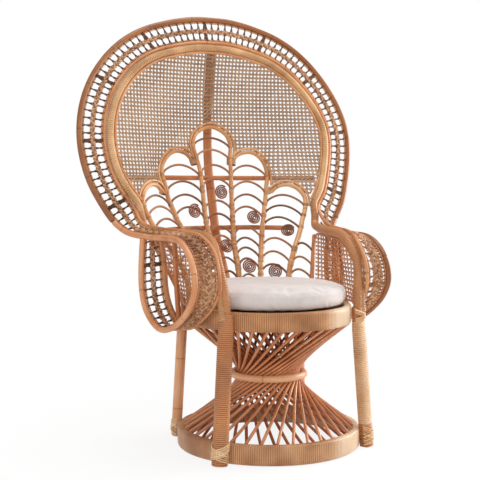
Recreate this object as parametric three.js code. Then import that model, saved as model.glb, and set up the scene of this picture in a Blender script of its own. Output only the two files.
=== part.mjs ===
// Peacock chair: a fan-backed rattan armchair on an hourglass of crossed spokes, with a loose seat cushion.
// Millimetres, +Z up. The chair faces -Y. Sizes below are from the axis of the base ring, on the floor;
// at the end the whole chair moves along Y, to put the origin under the middle of its outside box.
import * as THREE from 'three';

// Rings of the hourglass
const BASE = { radius: 300, wall: 26, height: 63 };
const WAIST = { radius: 117.5, pole: 11.5, z: 229 };
const SEAT = { radius: 274, wall: 26, bottom: 399, top: 459 };
const DECK = { radius: 247.4, bottom: 432, top: 447 };
const RING_STEPS = 40;

// Spokes: two crossed families of straight canes, bound at the waist
const SPOKES = 36;
const SPOKE = { width: 13, depth: 8.5, hoop: 16, twist: 62 };
const SPOKE_OUTER = { waist: 99, top: [267, 398.6], foot: [280, 63.4] };
const SPOKE_INNER = { waist: 81, top: [232, 428], foot: [258, 40] };

// Legs, as a radius and an angle from the front at the floor and at the top
const FRONT_LEG = { radius: 18.6, foot: [323, 54.8], top: [293.5, 53.3], height: 455 };
const REAR_LEG = { radius: 17.5, foot: [321, 131], top: [296, 131], height: 440 };

// Cushion
const CUSHION = { radius: 257, bottom: 459.5, edge: 517, crown: 537 };

// Fan border: radius of its outline about (0, FAN_Z) at each angle above the horizontal
const FAN_Z = 1000;
const FAN_END = -32;
const OUTLINE = [
  [-40, 520], [-32, 527], [-25, 532], [-15, 538], [-5, 543], [5, 547], [15, 544],
  [25, 537], [35, 528], [45, 518], [55, 505], [65, 490], [75, 481], [90, 475],
];
const RIM_Y = [
  [600, 240], [700, 285], [790, 310], [860, 335], [950, 355], [1070, 375],
  [1260, 425], [1350, 445], [1410, 455], [1470, 460], [1600, 470],
];
const RIM = { inset: 11, radius: 11 };
const INNER_POLE = { inset: 98, radius: 6.5, arm: 9.5 };
const WRAP_BAND = { inset: 119, radius: 12 };
const BEAD = { inset: 136.5, radius: 4.5 };
const BRAID = { half: 8, thick: 4 };
const FAN_CELLS = 40;
const ARM_CELLS = 22;

// Bowl of the back: depth of its centre line, and how fast the sides come forward
const BOWL_Y = [
  [450, 250], [546, 300], [633, 350], [723, 385], [832, 412], [910, 430], [1000, 455],
  [1080, 467], [1150, 470], [1250, 462], [1340, 446],
];
const BOWL_K = [
  [450, 1.9], [530, 1.7], [700, 1.45], [796, 1.28], [850, 1.07], [900, 0.93], [1000, 0.9],
  [1100, 0.85], [1167, 0.75], [1266, 0.52], [1340, 0.5],
];
const BOWL_FLARE = 400000;
const CANE_THICK = 3;
const WEB_GRID = { across: 12, rows: 9, pitch: 65, opening: 46, edge: 7, bottom: 845 };
// Lower edge of the cane web, just clear of the feathers, for x at and right of the centre
const CANE_EDGE = [
  [0, 1077.5], [36, 1068.5], [62, 1052], [78, 1030], [85, 1008], [88, 962], [104, 974], [128, 983.5],
  [150, 985], [180, 972.5], [205, 945], [219, 916], [223, 842], [238, 855], [256, 862], [276, 862.5],
  [302, 849.5], [328, 819], [332, 809], [354, 838], [383, 900], [398, 959],
];

// Right arm, from the fan's end along the top, down the front, under and up the back
const ARM_OUTER = [
  [405, 262, 693], [365, 150, 678], [349, 30, 680], [347, -75, 672], [347, -145, 636], [347, -183, 585],
  [347, -188, 535], [347, -158, 485], [348, -95, 437], [354, -20, 400], [365, 40, 389], [374, 90, 407],
  [381, 135, 446], [384, 160, 500], [384.5, 166, 575], [380, 169, 666],
];
const ARM_INNER = [
  [355, 238, 722], [318, 130, 704], [292, 30, 699], [275, -75, 688], [265, -147, 645], [265, -183, 585],
  [265, -187, 530], [271, -155, 477], [282, -93, 430], [290, -25, 399], [297, 34, 397], [303, 80, 423],
  [308, 116, 464], [310, 138, 512], [311.5, 146, 580], [324, 151, 694],
];
const ARM_FRAME = [
  [341, 279, 737], [335, 268, 706], [320, 222, 697], [295, 150, 692], [265, 50, 690], [250, -45, 685],
  [246, -90, 668], [248.5, -122, 640], [250.5, -150.5, 598], [245, -166, 548], [239, -171, 503], [236, -175.5, 457],
];
const FRAME_RADIUS = 16.5;
const ARM_BRACE = [[299.5, 50, 418], [304, 63, 560], [303.5, 76, 691]];
const ARM_POST = [[245.2, 144.3, 412], [245.8, 145, 460], [259, 162, 505], [290, 205, 590], [320, 247, 668]];
const PANEL = { thick: 3, bottom: 463, ring: 279.5 };
// Side panel columns: y and x and z at its top edge, y at its bottom edge
const PANEL_COLUMNS = [
  [-141, 246, 566, -150], [-131, 248, 597, -140], [-108, 247.5, 622, -122], [-80, 246.5, 646, -96], [-42, 250, 663, -52],
  [0, 256, 668, -16], [60, 267, 672, 30], [120, 285.5, 672, 70], [175, 303.5, 673, 100], [222, 312, 667, 122],
];

// Feathers, right of the centre: bent poles that run down behind the seat
// Their radius, thicker towards the seat
const FEATHER_RADIUS = [[412, 10.5], [620, 10], [800, 8.5], [900, 7.6], [1100, 7.5]];
const CENTRE_HALF = [
  [30.6, 284.6, 412], [30.6, 284.6, 456], [33, 289, 500], [37, 303, 548], [44.5, 353, 633], [54, 386, 723],
  [57.5, 404, 820], [62.5, 420, 905], [69, 441, 955], [76, 454, 1000], [66, 461, 1034], [36, 466, 1058],
];
const CENTRE_TOP = [0, 467, 1068];
const MID_FEATHER = [
  [84, 447, 944], [104, 446, 964], [127, 442, 973], [150, 436, 975], [180, 430, 962], [205, 425, 930],
  [213, 420, 900], [211, 413, 877], [203, 405, 845], [195, 396, 797], [184, 384, 763], [174, 370, 728],
  [161, 355, 695], [145, 330, 640], [128, 301, 580], [115, 278, 525], [110.3, 264.3, 458], [110.3, 264.3, 412],
];
const SIDE_FEATHER = [
  [218, 399, 823], [236, 387, 843], [256, 374, 852], [276, 361, 852], [302, 341, 838], [322, 321, 805],
  [318, 311, 768], [300, 300, 724], [272, 274, 672], [243, 251, 630], [221, 235, 588], [201, 221, 538],
  [194.3, 210.4, 460], [194.3, 210.4, 412],
];
// Heights of the arched rungs' crowns in each feather, and how far the ends lie below them
const RUNG = 3.6;
// How far an arched rung's ends lie below its crown, as shares of its rise
const RUNG_DROP = { left: 0.8, right: 1.15 };
const RUNGS_CENTRE = { crowns: [1026, 982, 925, 875, 794, 746, 700, 667, 590, 543], rise: 30 };
const RUNGS_MID = { crowns: [924, 864, 816, 771, 698, 658, 623, 585, 530], rise: 36 };
const RUNGS_SIDE = { crowns: [814, 775, 732, 657, 610, 565], rise: 36 };
const RUNGS_END = { crowns: [640, 592, 548], rise: 28 };

// Scrolls: flat spiral curls of thin cane, hung in the feathers
const SCROLL = { turns: 3, steps: 10, core: 4, pitch: 5.3, wire: 2, lift: 8.5 };
const SCROLLS = [
  ['scroll_centre_high', 14, 823, 'centre'],
  ['scroll_centre_low', 9, 625, 'centre'],
  ['scroll_mid_left', -100, 755, 'midLeft'],
  ['scroll_mid_right_high', 134, 727, 'midRight'],
  ['scroll_mid_right_low', 78, 554, 'midRight'],
  ['scroll_side_right_high', 239, 679, 'sideRight'],
  ['scroll_side_right_low', 162, 538, 'sideRight'],
];

// Back braces behind the feathers
const POST = { half: 17, thick: 6 };
const POST_PATH = [
  [0, 298, 412], [0, 304, 455], [0, 338, 530], [0, 395, 625], [0, 432, 720], [0, 462, 830], [0, 482, 900],
  [0, 491, 980], [0, 493, 1058], [0, 490, 1120], [0, 476, 1240], [0, 463, 1328],
];
const RAIL = 8.5;
const UPPER_RAIL = [[0, 455, 877], [110, 449, 877], [215, 434, 877], [330, 388, 877], [390, 366, 877]];
const LOWER_RAIL = [[0, 402, 694], [90, 394, 694], [165, 378, 693], [230, 337, 692], [270, 309, 691]];

// Gaps left between pieces that touch
const GAP = 0.4;
const RUNG_GAP = 0.8;
const LATTICE_END = 0.005;

const FINISH = {
  pole: new THREE.MeshStandardMaterial({ color: 0xc08a55, roughness: 0.5, metalness: 0 }),
  wrap: new THREE.MeshStandardMaterial({ color: 0xd0a070, roughness: 0.6, metalness: 0 }),
  dark: new THREE.MeshStandardMaterial({ color: 0x9c5a30, roughness: 0.55, metalness: 0 }),
  web: new THREE.MeshStandardMaterial({ color: 0xc9a27c, roughness: 0.65, metalness: 0 }),
  cloth: new THREE.MeshStandardMaterial({ color: 0xf0eae8, roughness: 0.9, metalness: 0 }),
};

const vec = (p) => new THREE.Vector3(p[0], p[1], p[2]);
const mirrored = (points) => points.map((p) => [-p[0], p[1], p[2]]);
const radians = (degrees) => (degrees * Math.PI) / 180;

// Straight-line table lookup, held at its ends
function table(rows, at) {
  if (at <= rows[0][0]) return rows[0][1];
  for (let i = 1; i < rows.length; i += 1) {
    if (at <= rows[i][0]) {
      const f = (at - rows[i - 1][0]) / (rows[i][0] - rows[i - 1][0]);
      return rows[i - 1][1] + f * (rows[i][1] - rows[i - 1][1]);
    }
  }
  return rows[rows.length - 1][1];
}

// Smooth table lookup, through a curve over the rows
function smooth(rows) {
  const curve = new THREE.CatmullRomCurve3(rows.map((r) => new THREE.Vector3(r[0], r[1], 0)), false, 'centripetal');
  const dense = curve.getPoints(rows.length * 12).map((p) => [p.x, p.y]);
  return (at) => table(dense, at);
}

const outline = smooth(OUTLINE);
const rimY = smooth(RIM_Y);
const bowlY = smooth(BOWL_Y);
const bowlK = smooth(BOWL_K);

// A point of the fan border, inset from the outline, at an angle from -32 to 212 degrees
function border(inset, angle) {
  const folded = angle > 90 ? 180 - angle : angle;
  const lean = radians(THREE.MathUtils.clamp(-2 + ((folded - FAN_END) * 10) / 42, -2, 8));
  const full = outline(folded);
  const radius = full - inset * Math.cos(lean);
  const height = FAN_Z + full * Math.sin(radians(folded));
  const x = radius * Math.cos(radians(folded)) * (angle > 90 ? -1 : 1);
  return [x, rimY(height) - inset * Math.sin(lean), FAN_Z + radius * Math.sin(radians(folded))];
}

// Depth of the cane web's bowl at x and z
function bowl(x, z) {
  return bowlY(z) - (bowlK(z) * x * x) / 1000 / (1 + (x * x) / BOWL_FLARE);
}

// Vertices and faces of one closed solid, faces listed counter-clockwise from outside
class Facets {
  constructor() {
    this.points = [];
    this.faces = [];
  }

  add(points) {
    const first = this.points.length;
    points.forEach((p) => this.points.push(p));
    return points.map((_, i) => first + i);
  }

  quad(a, b, c, d) {
    this.faces.push(a, b, c, a, c, d);
  }

  fan(ring) {
    for (let i = 1; i < ring.length - 1; i += 1) this.faces.push(ring[0], ring[i], ring[i + 1]);
  }

  bridge(from, to) {
    const n = from.length;
    for (let j = 0; j < n; j += 1) this.quad(from[j], from[(j + 1) % n], to[(j + 1) % n], to[j]);
  }

  // Extrudes the side between corners j and j+1 of two neighbouring rings to four end points
  prong(from, to, j, ends) {
    const n = from.length;
    const loop = [from[j], from[(j + 1) % n], to[(j + 1) % n], to[j]];
    const tip = this.add(ends);
    this.bridge(loop, tip);
    this.fan(tip);
  }

  geometry() {
    const geometry = new THREE.BufferGeometry();
    const flat = new Float32Array(this.points.length * 3);
    this.points.forEach((p, i) => p.toArray(flat, i * 3));
    geometry.setAttribute('position', new THREE.BufferAttribute(flat, 3));
    geometry.setIndex(this.faces);
    geometry.computeVertexNormals();
    return geometry;
  }
}

// Points along a smooth curve, evenly spaced
function route(points, steps) {
  return new THREE.CatmullRomCurve3(points.map(vec), false, 'centripetal').getSpacedPoints(steps);
}

// Moves both ends of a run of points inward along it
function trimmed(points, by) {
  const run = points.map((p) => p.clone());
  const n = run.length;
  run[0].addScaledVector(run[1].clone().sub(run[0]).normalize(), by);
  run[n - 1].addScaledVector(run[n - 2].clone().sub(run[n - 1]).normalize(), by);
  return run;
}

function tangentAt(points, i) {
  if (points.ends && i === 0) return points.ends[0].clone();
  if (points.ends && i === points.length - 1) return points.ends[1].clone();
  const before = points[Math.max(i - 1, 0)];
  const after = points[Math.min(i + 1, points.length - 1)];
  return after.clone().sub(before).normalize();
}

// A solid pole along a run of points, with its section carried along without twisting
function pole(points, radius, sides, start = null, squash = 1) {
  const facets = new Facets();
  let normal = start ? vec(start) : new THREE.Vector3(0.3, 0.9, -0.2);
  let last = null;
  points.forEach((point, i) => {
    const tangent = tangentAt(points, i);
    normal.addScaledVector(tangent, -normal.dot(tangent)).normalize();
    const side = tangent.clone().cross(normal);
    const size = typeof radius === 'function' ? radius(i / (points.length - 1)) : radius;
    const ring = [];
    for (let j = 0; j < sides; j += 1) {
      const a = ((j + 0.5) * 2 * Math.PI) / sides;
      ring.push(point.clone()
        .addScaledVector(normal, size * squash * Math.cos(a))
        .addScaledVector(side, size * Math.sin(a)));
    }
    const now = facets.add(ring);
    if (last) facets.bridge(last, now);
    else facets.fan([...now].reverse());
    last = now;
  });
  facets.fan(last);
  return facets.geometry();
}

// A flat bar along a run of points, wide along X
function bar(points, half, thick) {
  const facets = new Facets();
  let last = null;
  points.forEach((point, i) => {
    const tangent = tangentAt(points, i);
    const across = new THREE.Vector3(1, 0, 0);
    const back = tangent.clone().cross(across).normalize();
    const corner = (u, v) => point.clone().addScaledVector(across, u * half).addScaledVector(back, v * thick);
    const now = facets.add([corner(-1, -1), corner(1, -1), corner(1, 1), corner(-1, 1)]);
    if (last) facets.bridge(last, now);
    else facets.fan([...now].reverse());
    last = now;
  });
  facets.fan(last);
  return facets.geometry();
}

// A closed profile of [radius, z], counter-clockwise, turned about the Z axis; ends on the axis become points
function turned(profile, steps) {
  const facets = new Facets();
  const rows = profile.map(([r, z]) => {
    if (r === 0) return facets.add([new THREE.Vector3(0, 0, z)]);
    const ring = [];
    for (let i = 0; i < steps; i += 1) {
      const a = (i * 2 * Math.PI) / steps;
      ring.push(new THREE.Vector3(r * Math.cos(a), r * Math.sin(a), z));
    }
    return facets.add(ring);
  });
  const open = profile[0][0] === 0;
  const count = open ? rows.length - 1 : rows.length;
  for (let k = 0; k < count; k += 1) {
    const low = rows[k];
    const high = rows[(k + 1) % rows.length];
    for (let i = 0; i < steps; i += 1) {
      const j = (i + 1) % steps;
      if (low.length === 1) facets.faces.push(low[0], high[j], high[i]);
      else if (high.length === 1) facets.faces.push(low[i], low[j], high[0]);
      else facets.quad(low[i], low[j], high[j], high[i]);
    }
  }
  return facets.geometry();
}

// A wrapped ring: a band with rounded edges
function band(radius, wall, bottom, top) {
  const r = radius - wall;
  return turned([
    [r, bottom], [radius - 5, bottom], [radius, bottom + 7], [radius, top - 7], [radius - 5, top], [r, top],
  ], RING_STEPS);
}

// A quarter of one family of spokes: an arc of hoop at the waist, with a straight cane up and down at each place
function spokes(size, lean, quarter) {
  const facets = new Facets();
  const period = (2 * Math.PI) / SPOKES;
  const share = SPOKE.width / (period * size.waist);
  const first = (quarter * SPOKES) / 4;
  const rings = [];
  const at = (angle, radius, z) => new THREE.Vector3(radius * Math.cos(angle), radius * Math.sin(angle), z);
  const half = SPOKE.depth / 2;
  for (let i = 0; i < SPOKES / 2; i += 1) {
    const angle = period * (first + Math.floor(i / 2) + (i % 2 ? share : 0));
    rings.push(facets.add([
      at(angle, size.waist - half, WAIST.z - SPOKE.hoop / 2),
      at(angle, size.waist - half, WAIST.z + SPOKE.hoop / 2),
      at(angle, size.waist + half, WAIST.z + SPOKE.hoop / 2),
      at(angle, size.waist + half, WAIST.z - SPOKE.hoop / 2),
    ]));
  }
  const turn = radians(SPOKE.twist) * lean;
  facets.fan([...rings[0]].reverse());
  for (let i = 0; i < rings.length - 1; i += 1) {
    const ring = rings[i];
    const next = rings[i + 1];
    for (let j = 0; j < 4; j += 1) {
      if (i % 2 === 1 || j === 0 || j === 2) {
        facets.quad(ring[j], ring[(j + 1) % 4], next[(j + 1) % 4], next[j]);
      } else {
        const up = j === 1;
        const mid = period * (first + i / 2 + share / 2);
        const from = at(mid, size.waist, WAIST.z + (up ? 1 : -1) * (SPOKE.hoop / 2));
        const to = at(mid + (up ? turn : -turn), ...(up ? size.top : size.foot));
        const shift = to.sub(from);
        const loop = [ring[j], ring[(j + 1) % 4], next[(j + 1) % 4], next[j]];
        facets.prong(ring, next, j, loop.map((k) => facets.points[k].clone().add(shift)));
      }
    }
  }
  facets.fan(rings[rings.length - 1]);
  return facets.geometry();
}

// A braid midway between two poles, with rungs across to both
function lattice(outer, inner, cells, outerRadius, innerRadius) {
  const facets = new Facets();
  const stations = [LATTICE_END];
  for (let i = 0; i < cells; i += 1) stations.push((i + 0.4) / cells, (i + 0.6) / cells);
  stations.push(1 - LATTICE_END);
  const slant = (run, s, across) => {
    const heading = along(run, Math.min(s + 0.004, 1)).sub(along(run, Math.max(s - 0.004, 0))).normalize();
    return heading.cross(across).length();
  };
  const frames = stations.map((s) => {
    const a = along(outer, s);
    const b = along(inner, s);
    const across = b.clone().sub(a);
    const whole = across.length();
    across.normalize();
    const fromOuter = outerRadius / slant(outer, s, across);
    const fromInner = innerRadius(s) / slant(inner, s, across);
    const half = (whole - fromOuter - fromInner) / 2;
    return { mid: a.addScaledVector(across, fromOuter + half), across, reach: half - RUNG_GAP };
  });
  const rings = frames.map((frame, i) => {
    const ahead = frames[Math.min(i + 1, frames.length - 1)].mid;
    const behind = frames[Math.max(i - 1, 0)].mid;
    const tangent = ahead.clone().sub(behind).normalize();
    frame.lift = tangent.clone().cross(frame.across).normalize();
    const corner = (u, v) => frame.mid.clone()
      .addScaledVector(frame.across, u * BRAID.half).addScaledVector(frame.lift, v * BRAID.thick);
    return facets.add([corner(-1, -1), corner(1, -1), corner(1, 1), corner(-1, 1)]);
  });
  facets.fan([...rings[0]].reverse());
  for (let i = 0; i < rings.length - 1; i += 1) {
    const rung = i % 2 === 1;
    for (let j = 0; j < 4; j += 1) {
      if (!rung || j === 0 || j === 2) {
        facets.quad(rings[i][j], rings[i][(j + 1) % 4], rings[i + 1][(j + 1) % 4], rings[i + 1][j]);
      } else {
        const sign = j === 1 ? 1 : -1;
        const low = j === 1 ? -0.8 : 0.8;
        const tip = (k, v) => frames[k].mid.clone()
          .addScaledVector(frames[k].across, sign * frames[k].reach)
          .addScaledVector(frames[k].lift, v * BRAID.thick);
        facets.prong(rings[i], rings[i + 1], j, [tip(i, low), tip(i, -low), tip(i + 1, -low), tip(i + 1, low)]);
      }
    }
  }
  facets.fan(rings[rings.length - 1]);
  return facets.geometry();
}

// A thin sheet from columns of points and a thickness direction at each point
function sheet(columns, thick, outward) {
  const facets = new Facets();
  const front = columns.map((column) => facets.add(column.map((p) => (
    p.clone().addScaledVector(outward(p), thick / 2)))));
  const back = columns.map((column) => facets.add(column.map((p) => (
    p.clone().addScaledVector(outward(p), -thick / 2)))));
  const rows = columns[0].length;
  const wall = (a, b, c, d) => facets.quad(a, b, c, d);
  for (let i = 0; i < columns.length - 1; i += 1) {
    for (let j = 0; j < rows - 1; j += 1) {
      wall(front[i][j], front[i + 1][j], front[i + 1][j + 1], front[i][j + 1]);
      wall(back[i][j], back[i][j + 1], back[i + 1][j + 1], back[i + 1][j]);
    }
    wall(back[i][0], back[i + 1][0], front[i + 1][0], front[i][0]);
    const top = rows - 1;
    wall(front[i][top], front[i + 1][top], back[i + 1][top], back[i][top]);
  }
  const end = columns.length - 1;
  for (let j = 0; j < rows - 1; j += 1) {
    wall(back[0][j], front[0][j], front[0][j + 1], back[0][j + 1]);
    wall(front[end][j], back[end][j], back[end][j + 1], front[end][j + 1]);
  }
  return facets.geometry();
}

// Swaps diagonals of a flat net of triangles until each is as compact as the loops' own sides allow
function compacted(points, faces, loops) {
  const sides = new Set(loops.flatMap((loop) => loop.map((a, i) => `${a} ${loop[(i + 1) % loop.length]}`)));
  const corner = (at, a, b) => {
    const [u, v] = [a, b].map((end) => points[end].clone().sub(points[at]));
    return Math.acos(u.dot(v) / (u.length() * v.length()));
  };
  const net = faces.map((face) => [...face]);
  for (let swapped = true; swapped;) {
    swapped = false;
    const owner = new Map();
    net.forEach((face, n) => face.forEach((a, k) => owner.set(`${a} ${face[(k + 1) % 3]}`, [n, face[(k + 2) % 3]])));
    const touched = new Set();
    owner.forEach(([n, c], side) => {
      const [a, b] = side.split(' ').map(Number);
      const [m, d] = owner.get(`${b} ${a}`) ?? [];
      if (m === undefined || sides.has(side) || sides.has(`${b} ${a}`) || touched.has(n) || touched.has(m)) return;
      if (corner(c, a, b) + corner(d, a, b) < Math.PI + 1e-6) return;
      net[n] = [a, d, c];
      net[m] = [d, b, c];
      touched.add(n).add(m);
      swapped = true;
    });
  }
  return net;
}

// A thin sheet on the bowl of the back, cut from an outline with a grid of openings
function openwork(outline, openings, thick) {
  const loops = [outline, ...openings].map((loop) => loop.map(([x, z]) => new THREE.Vector2(x, z)));
  const points = loops.flat();
  let first = 0;
  const numbers = loops.map((loop) => loop.map(() => first++));
  const faces = compacted(points, THREE.ShapeUtils.triangulateShape(loops[0], loops.slice(1)), numbers);
  const facets = new Facets();
  const layer = (deep) => facets.add(points.map((p) => new THREE.Vector3(p.x, bowl(p.x, p.y) + deep, p.y)));
  const front = layer(-thick / 2);
  const back = layer(thick / 2);
  faces.forEach(([a, b, c]) => {
    facets.fan([front[a], front[b], front[c]]);
    facets.fan([back[a], back[c], back[b]]);
  });
  numbers.forEach((loop) => loop.forEach((a, i) => {
    const b = loop[(i + 1) % loop.length];
    facets.quad(front[b], front[a], back[a], back[b]);
  }));
  return facets.geometry();
}

// The radius of a feather pole at a height
function featherRadius(z) {
  return table(FEATHER_RADIUS, z);
}

// A feather pole along a run of points
function feather(points) {
  return pole(points, (f) => featherRadius(points[Math.round(f * (points.length - 1))].z), 5);
}

// The point of a feather pole at a height, on its run below its crown
function stemAt(points, z) {
  let best = null;
  for (let i = 1; i < points.length; i += 1) {
    const a = points[i - 1];
    const b = points[i];
    if ((a.z - z) * (b.z - z) <= 0 && a.z !== b.z) {
      const hit = a.clone().lerp(b, (z - a.z) / (b.z - a.z));
      if (!best || hit.y < best.y) best = hit;
    }
  }
  return best;
}

// One thin cane that runs from side to side between two stems in arches, down along a stem after each
function rungs(left, right, spec) {
  const run = [];
  spec.crowns.forEach((crown, k) => {
    const a = stemAt(left, crown - RUNG_DROP.left * spec.rise);
    const b = stemAt(right, crown - RUNG_DROP.right * spec.rise);
    const along = b.clone().sub(a);
    const reach = along.length();
    const clear = featherRadius(crown - spec.rise) + RUNG + 1.2;
    along.normalize();
    const start = a.clone().addScaledVector(along, clear);
    const stop = b.clone().addScaledVector(along, -clear);
    const arch = [];
    const steps = 5;
    for (let i = 0; i <= steps; i += 1) {
      const f = i / steps;
      const point = start.clone().lerp(stop, f);
      const lift = ((RUNG_DROP.left + RUNG_DROP.right) / 2) * spec.rise * Math.pow(Math.sin(Math.PI * f), 0.75);
      const up = stemAt(left, point.z + lift);
      const other = stemAt(right, point.z + lift);
      const blend = (clear + (reach - 2 * clear) * f) / reach;
      point.z += lift;
      if (up && other) point.y = up.y * (1 - blend) + other.y * blend;
      arch.push(point);
    }
    if (k % 2) arch.reverse();
    run.push(...arch);
  });
  return pole(run, RUNG, 3, [0, -1, 0.2]);
}

// A flat spiral with a straight tail towards the stem on its right
function scroll(centre, across, up, stemGap) {
  const points = [];
  const total = SCROLL.turns * SCROLL.steps;
  for (let i = 0; i <= total; i += 1) {
    const a = (i * 2 * Math.PI) / SCROLL.steps;
    const r = SCROLL.core + (SCROLL.pitch * i) / SCROLL.steps;
    points.push(centre.clone().addScaledVector(across, -r * Math.sin(a)).addScaledVector(up, -r * Math.cos(a)));
  }
  const tail = Math.min(stemGap, 12);
  points.push(points[total].clone().addScaledVector(across, -tail));
  return points;
}

// Least gap between parts of one tube that lie at least half a turn apart along it
function leastGap(points, radius, steps) {
  let least = Infinity;
  points.forEach((p, i) => {
    points.slice(i + Math.ceil(steps / 2)).forEach((q) => {
      least = Math.min(least, p.distanceTo(q) - 2 * radius);
    });
  });
  return least;
}

const chair = new THREE.Group();
const hourglass = new THREE.Group();
const fan = new THREE.Group();
const arms = new THREE.Group();
const plume = new THREE.Group();
chair.add(hourglass, fan, arms, plume);

function place(group, name, geometry, finish) {
  const mesh = new THREE.Mesh(geometry, FINISH[finish]);
  mesh.name = name;
  group.add(mesh);
}

// Hourglass, seat and legs
place(hourglass, 'base_ring', band(BASE.radius, BASE.wall, 0, BASE.height), 'wrap');
place(hourglass, 'seat_ring', band(SEAT.radius, SEAT.wall, SEAT.bottom, SEAT.top), 'wrap');
const waistProfile = [];
for (let i = 0; i < 6; i += 1) {
  const a = radians(60 * i + 30);
  waistProfile.push([WAIST.radius + WAIST.pole * Math.cos(a), WAIST.z + WAIST.pole * Math.sin(a)]);
}
place(hourglass, 'waist_ring', turned(waistProfile, 32), 'pole');
['right', 'back', 'left', 'front'].forEach((side, quarter) => {
  place(hourglass, `spokes_outer_${side}`, spokes(SPOKE_OUTER, 1, quarter), 'pole');
  place(hourglass, `spokes_inner_${side}`, spokes(SPOKE_INNER, -1, quarter), 'dark');
});
const deckProfile = [[0, DECK.bottom], [DECK.radius, DECK.bottom], [DECK.radius, DECK.top], [0, DECK.top]];
place(hourglass, 'seat_deck', turned(deckProfile, RING_STEPS), 'web');

const legAxis = (leg, side) => {
  const at = ([radius, angle], z) => (
    [side * radius * Math.sin(radians(angle)), -radius * Math.cos(radians(angle)), z]);
  const foot = vec(at(leg.foot, 0));
  const head = vec(at(leg.top, leg.height));
  return (z) => foot.clone().lerp(head, z / leg.height);
};
const LEGS = [
  ['front_leg_left', FRONT_LEG, -1], ['front_leg_right', FRONT_LEG, 1],
  ['rear_leg_left', REAR_LEG, -1], ['rear_leg_right', REAR_LEG, 1],
];
LEGS.forEach(([name, leg, side]) => {
  const axis = legAxis(leg, side);
  const facets = new Facets();
  const rings = [0, leg.height / 2, leg.height].map((z) => {
    const ring = [];
    for (let j = 0; j < 8; j += 1) {
      const a = radians(45 * j + 22.5);
      ring.push(axis(z).add(new THREE.Vector3(leg.radius * Math.cos(a), leg.radius * Math.sin(a), 0)));
    }
    return facets.add(ring);
  });
  facets.fan([...rings[0]].reverse());
  facets.bridge(rings[0], rings[1]);
  facets.bridge(rings[1], rings[2]);
  facets.fan(rings[2]);
  place(hourglass, name, facets.geometry(), 'wrap');
});

// Cushion: flat under, drawn in at its lower and upper edges, full at the side and crowned on top
place(hourglass, 'cushion', turned([
  [0, CUSHION.bottom], [CUSHION.radius - 5, CUSHION.bottom], [CUSHION.radius - 1, CUSHION.bottom + 9],
  [CUSHION.radius, CUSHION.bottom + 28], [CUSHION.radius - 2, CUSHION.edge - 12],
  [CUSHION.radius - 9, CUSHION.edge], [CUSHION.radius - 26, CUSHION.edge + 8],
  [CUSHION.radius - 80, CUSHION.crown - 5], [CUSHION.radius - 160, CUSHION.crown - 1], [0, CUSHION.crown],
], 32), 'cloth');

// Border curves, left arm through the fan to the right arm, indexed by control point
const FAN_SPANS = 30;
const ARM_SPANS = ARM_OUTER.length;
function borderCurve(inset, arm) {
  const points = [...mirrored(arm)].reverse();
  for (let i = 0; i <= FAN_SPANS; i += 1) {
    points.push(border(inset, 180 - FAN_END - (i * (180 - 2 * FAN_END)) / FAN_SPANS));
  }
  points.push(...arm);
  const curve = new THREE.CatmullRomCurve3(points.map(vec), false, 'centripetal');
  return (index) => curve.getPoint(THREE.MathUtils.clamp(index / (points.length - 1), 0, 1));
}
// A run of points along a curve between two indices, cut square to it just short of each end
function stretch(curve, from, to, steps) {
  const points = [];
  for (let i = 0; i <= steps; i += 1) points.push(curve(from + ((to - from) * i) / steps));
  const run = trimmed(points, GAP / 2);
  const ahead = 0.02 * Math.sign(to - from);
  run.ends = [from, to].map((at) => curve(at + ahead).sub(curve(at - ahead)).normalize());
  return run;
}
// A place along a run of points, from 0 to 1
function along(run, at) {
  const spot = Math.min(at * (run.length - 1), run.length - 1 - 1e-9);
  const i = Math.floor(spot);
  return run[i].clone().lerp(run[i + 1], spot - i);
}
const FAN_FROM = ARM_SPANS;
const FAN_TO = ARM_SPANS + FAN_SPANS;
const outerCurve = borderCurve(RIM.inset, ARM_OUTER);
const innerCurve = borderCurve(INNER_POLE.inset, ARM_INNER);
const frameCurve = borderCurve(WRAP_BAND.inset, ARM_FRAME);
const frameSpans = ARM_FRAME.length;

const FAN_STEPS = 42;
const ARM_STEPS = 28;
const rimRun = stretch(outerCurve, FAN_FROM, FAN_TO, FAN_STEPS);
const innerRun = stretch(innerCurve, FAN_FROM, FAN_TO, FAN_STEPS);
place(fan, 'fan_rim', pole(rimRun, RIM.radius, 6), 'pole');
place(fan, 'fan_inner_pole', pole(innerRun, INNER_POLE.radius, 4), 'dark');
place(fan, 'fan_lattice', lattice(rimRun, innerRun, FAN_CELLS, RIM.radius, () => INNER_POLE.radius), 'dark');
place(fan, 'fan_wrap_band', pole(
  stretch(frameCurve, frameSpans, frameSpans + FAN_SPANS, 40), WRAP_BAND.radius, 6), 'wrap');
const beadRun = [];
for (let i = 0; i <= 40; i += 1) beadRun.push(vec(border(BEAD.inset, FAN_END + 2 + (i * 240) / 40)));
place(fan, 'fan_bead', pole(beadRun, BEAD.radius, 4), 'pole');

// Cane web of the fan, from the feathers' tops to the bead
const webEdge = [];
for (let a = 90; a >= FAN_END; a -= 3) {
  const p = border(BEAD.inset + BEAD.radius + 2.5, a);
  webEdge.push([p[0], p[2]]);
}
const widest = webEdge.reduce((best, p, i) => (p[0] > webEdge[best][0] ? i : best), 0);
const upperEdge = webEdge.slice(0, widest + 1);
const webLow = [...CANE_EDGE.slice(1).reverse().map(([x, z]) => [-x, z]), ...CANE_EDGE];
const webSide = CANE_EDGE[CANE_EDGE.length - 1][0];
const webHigh = [[webSide, table(upperEdge, webSide)], ...upperEdge.filter(([x]) => x < webSide - 1).reverse()];
webHigh.push(...webHigh.slice(0, -1).reverse().map(([x, z]) => [-x, z]));
const onWeb = ([x, z]) => Math.abs(x) < webSide
  && z > table(CANE_EDGE, Math.abs(x)) && z < table(upperEdge, Math.abs(x));
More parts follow.
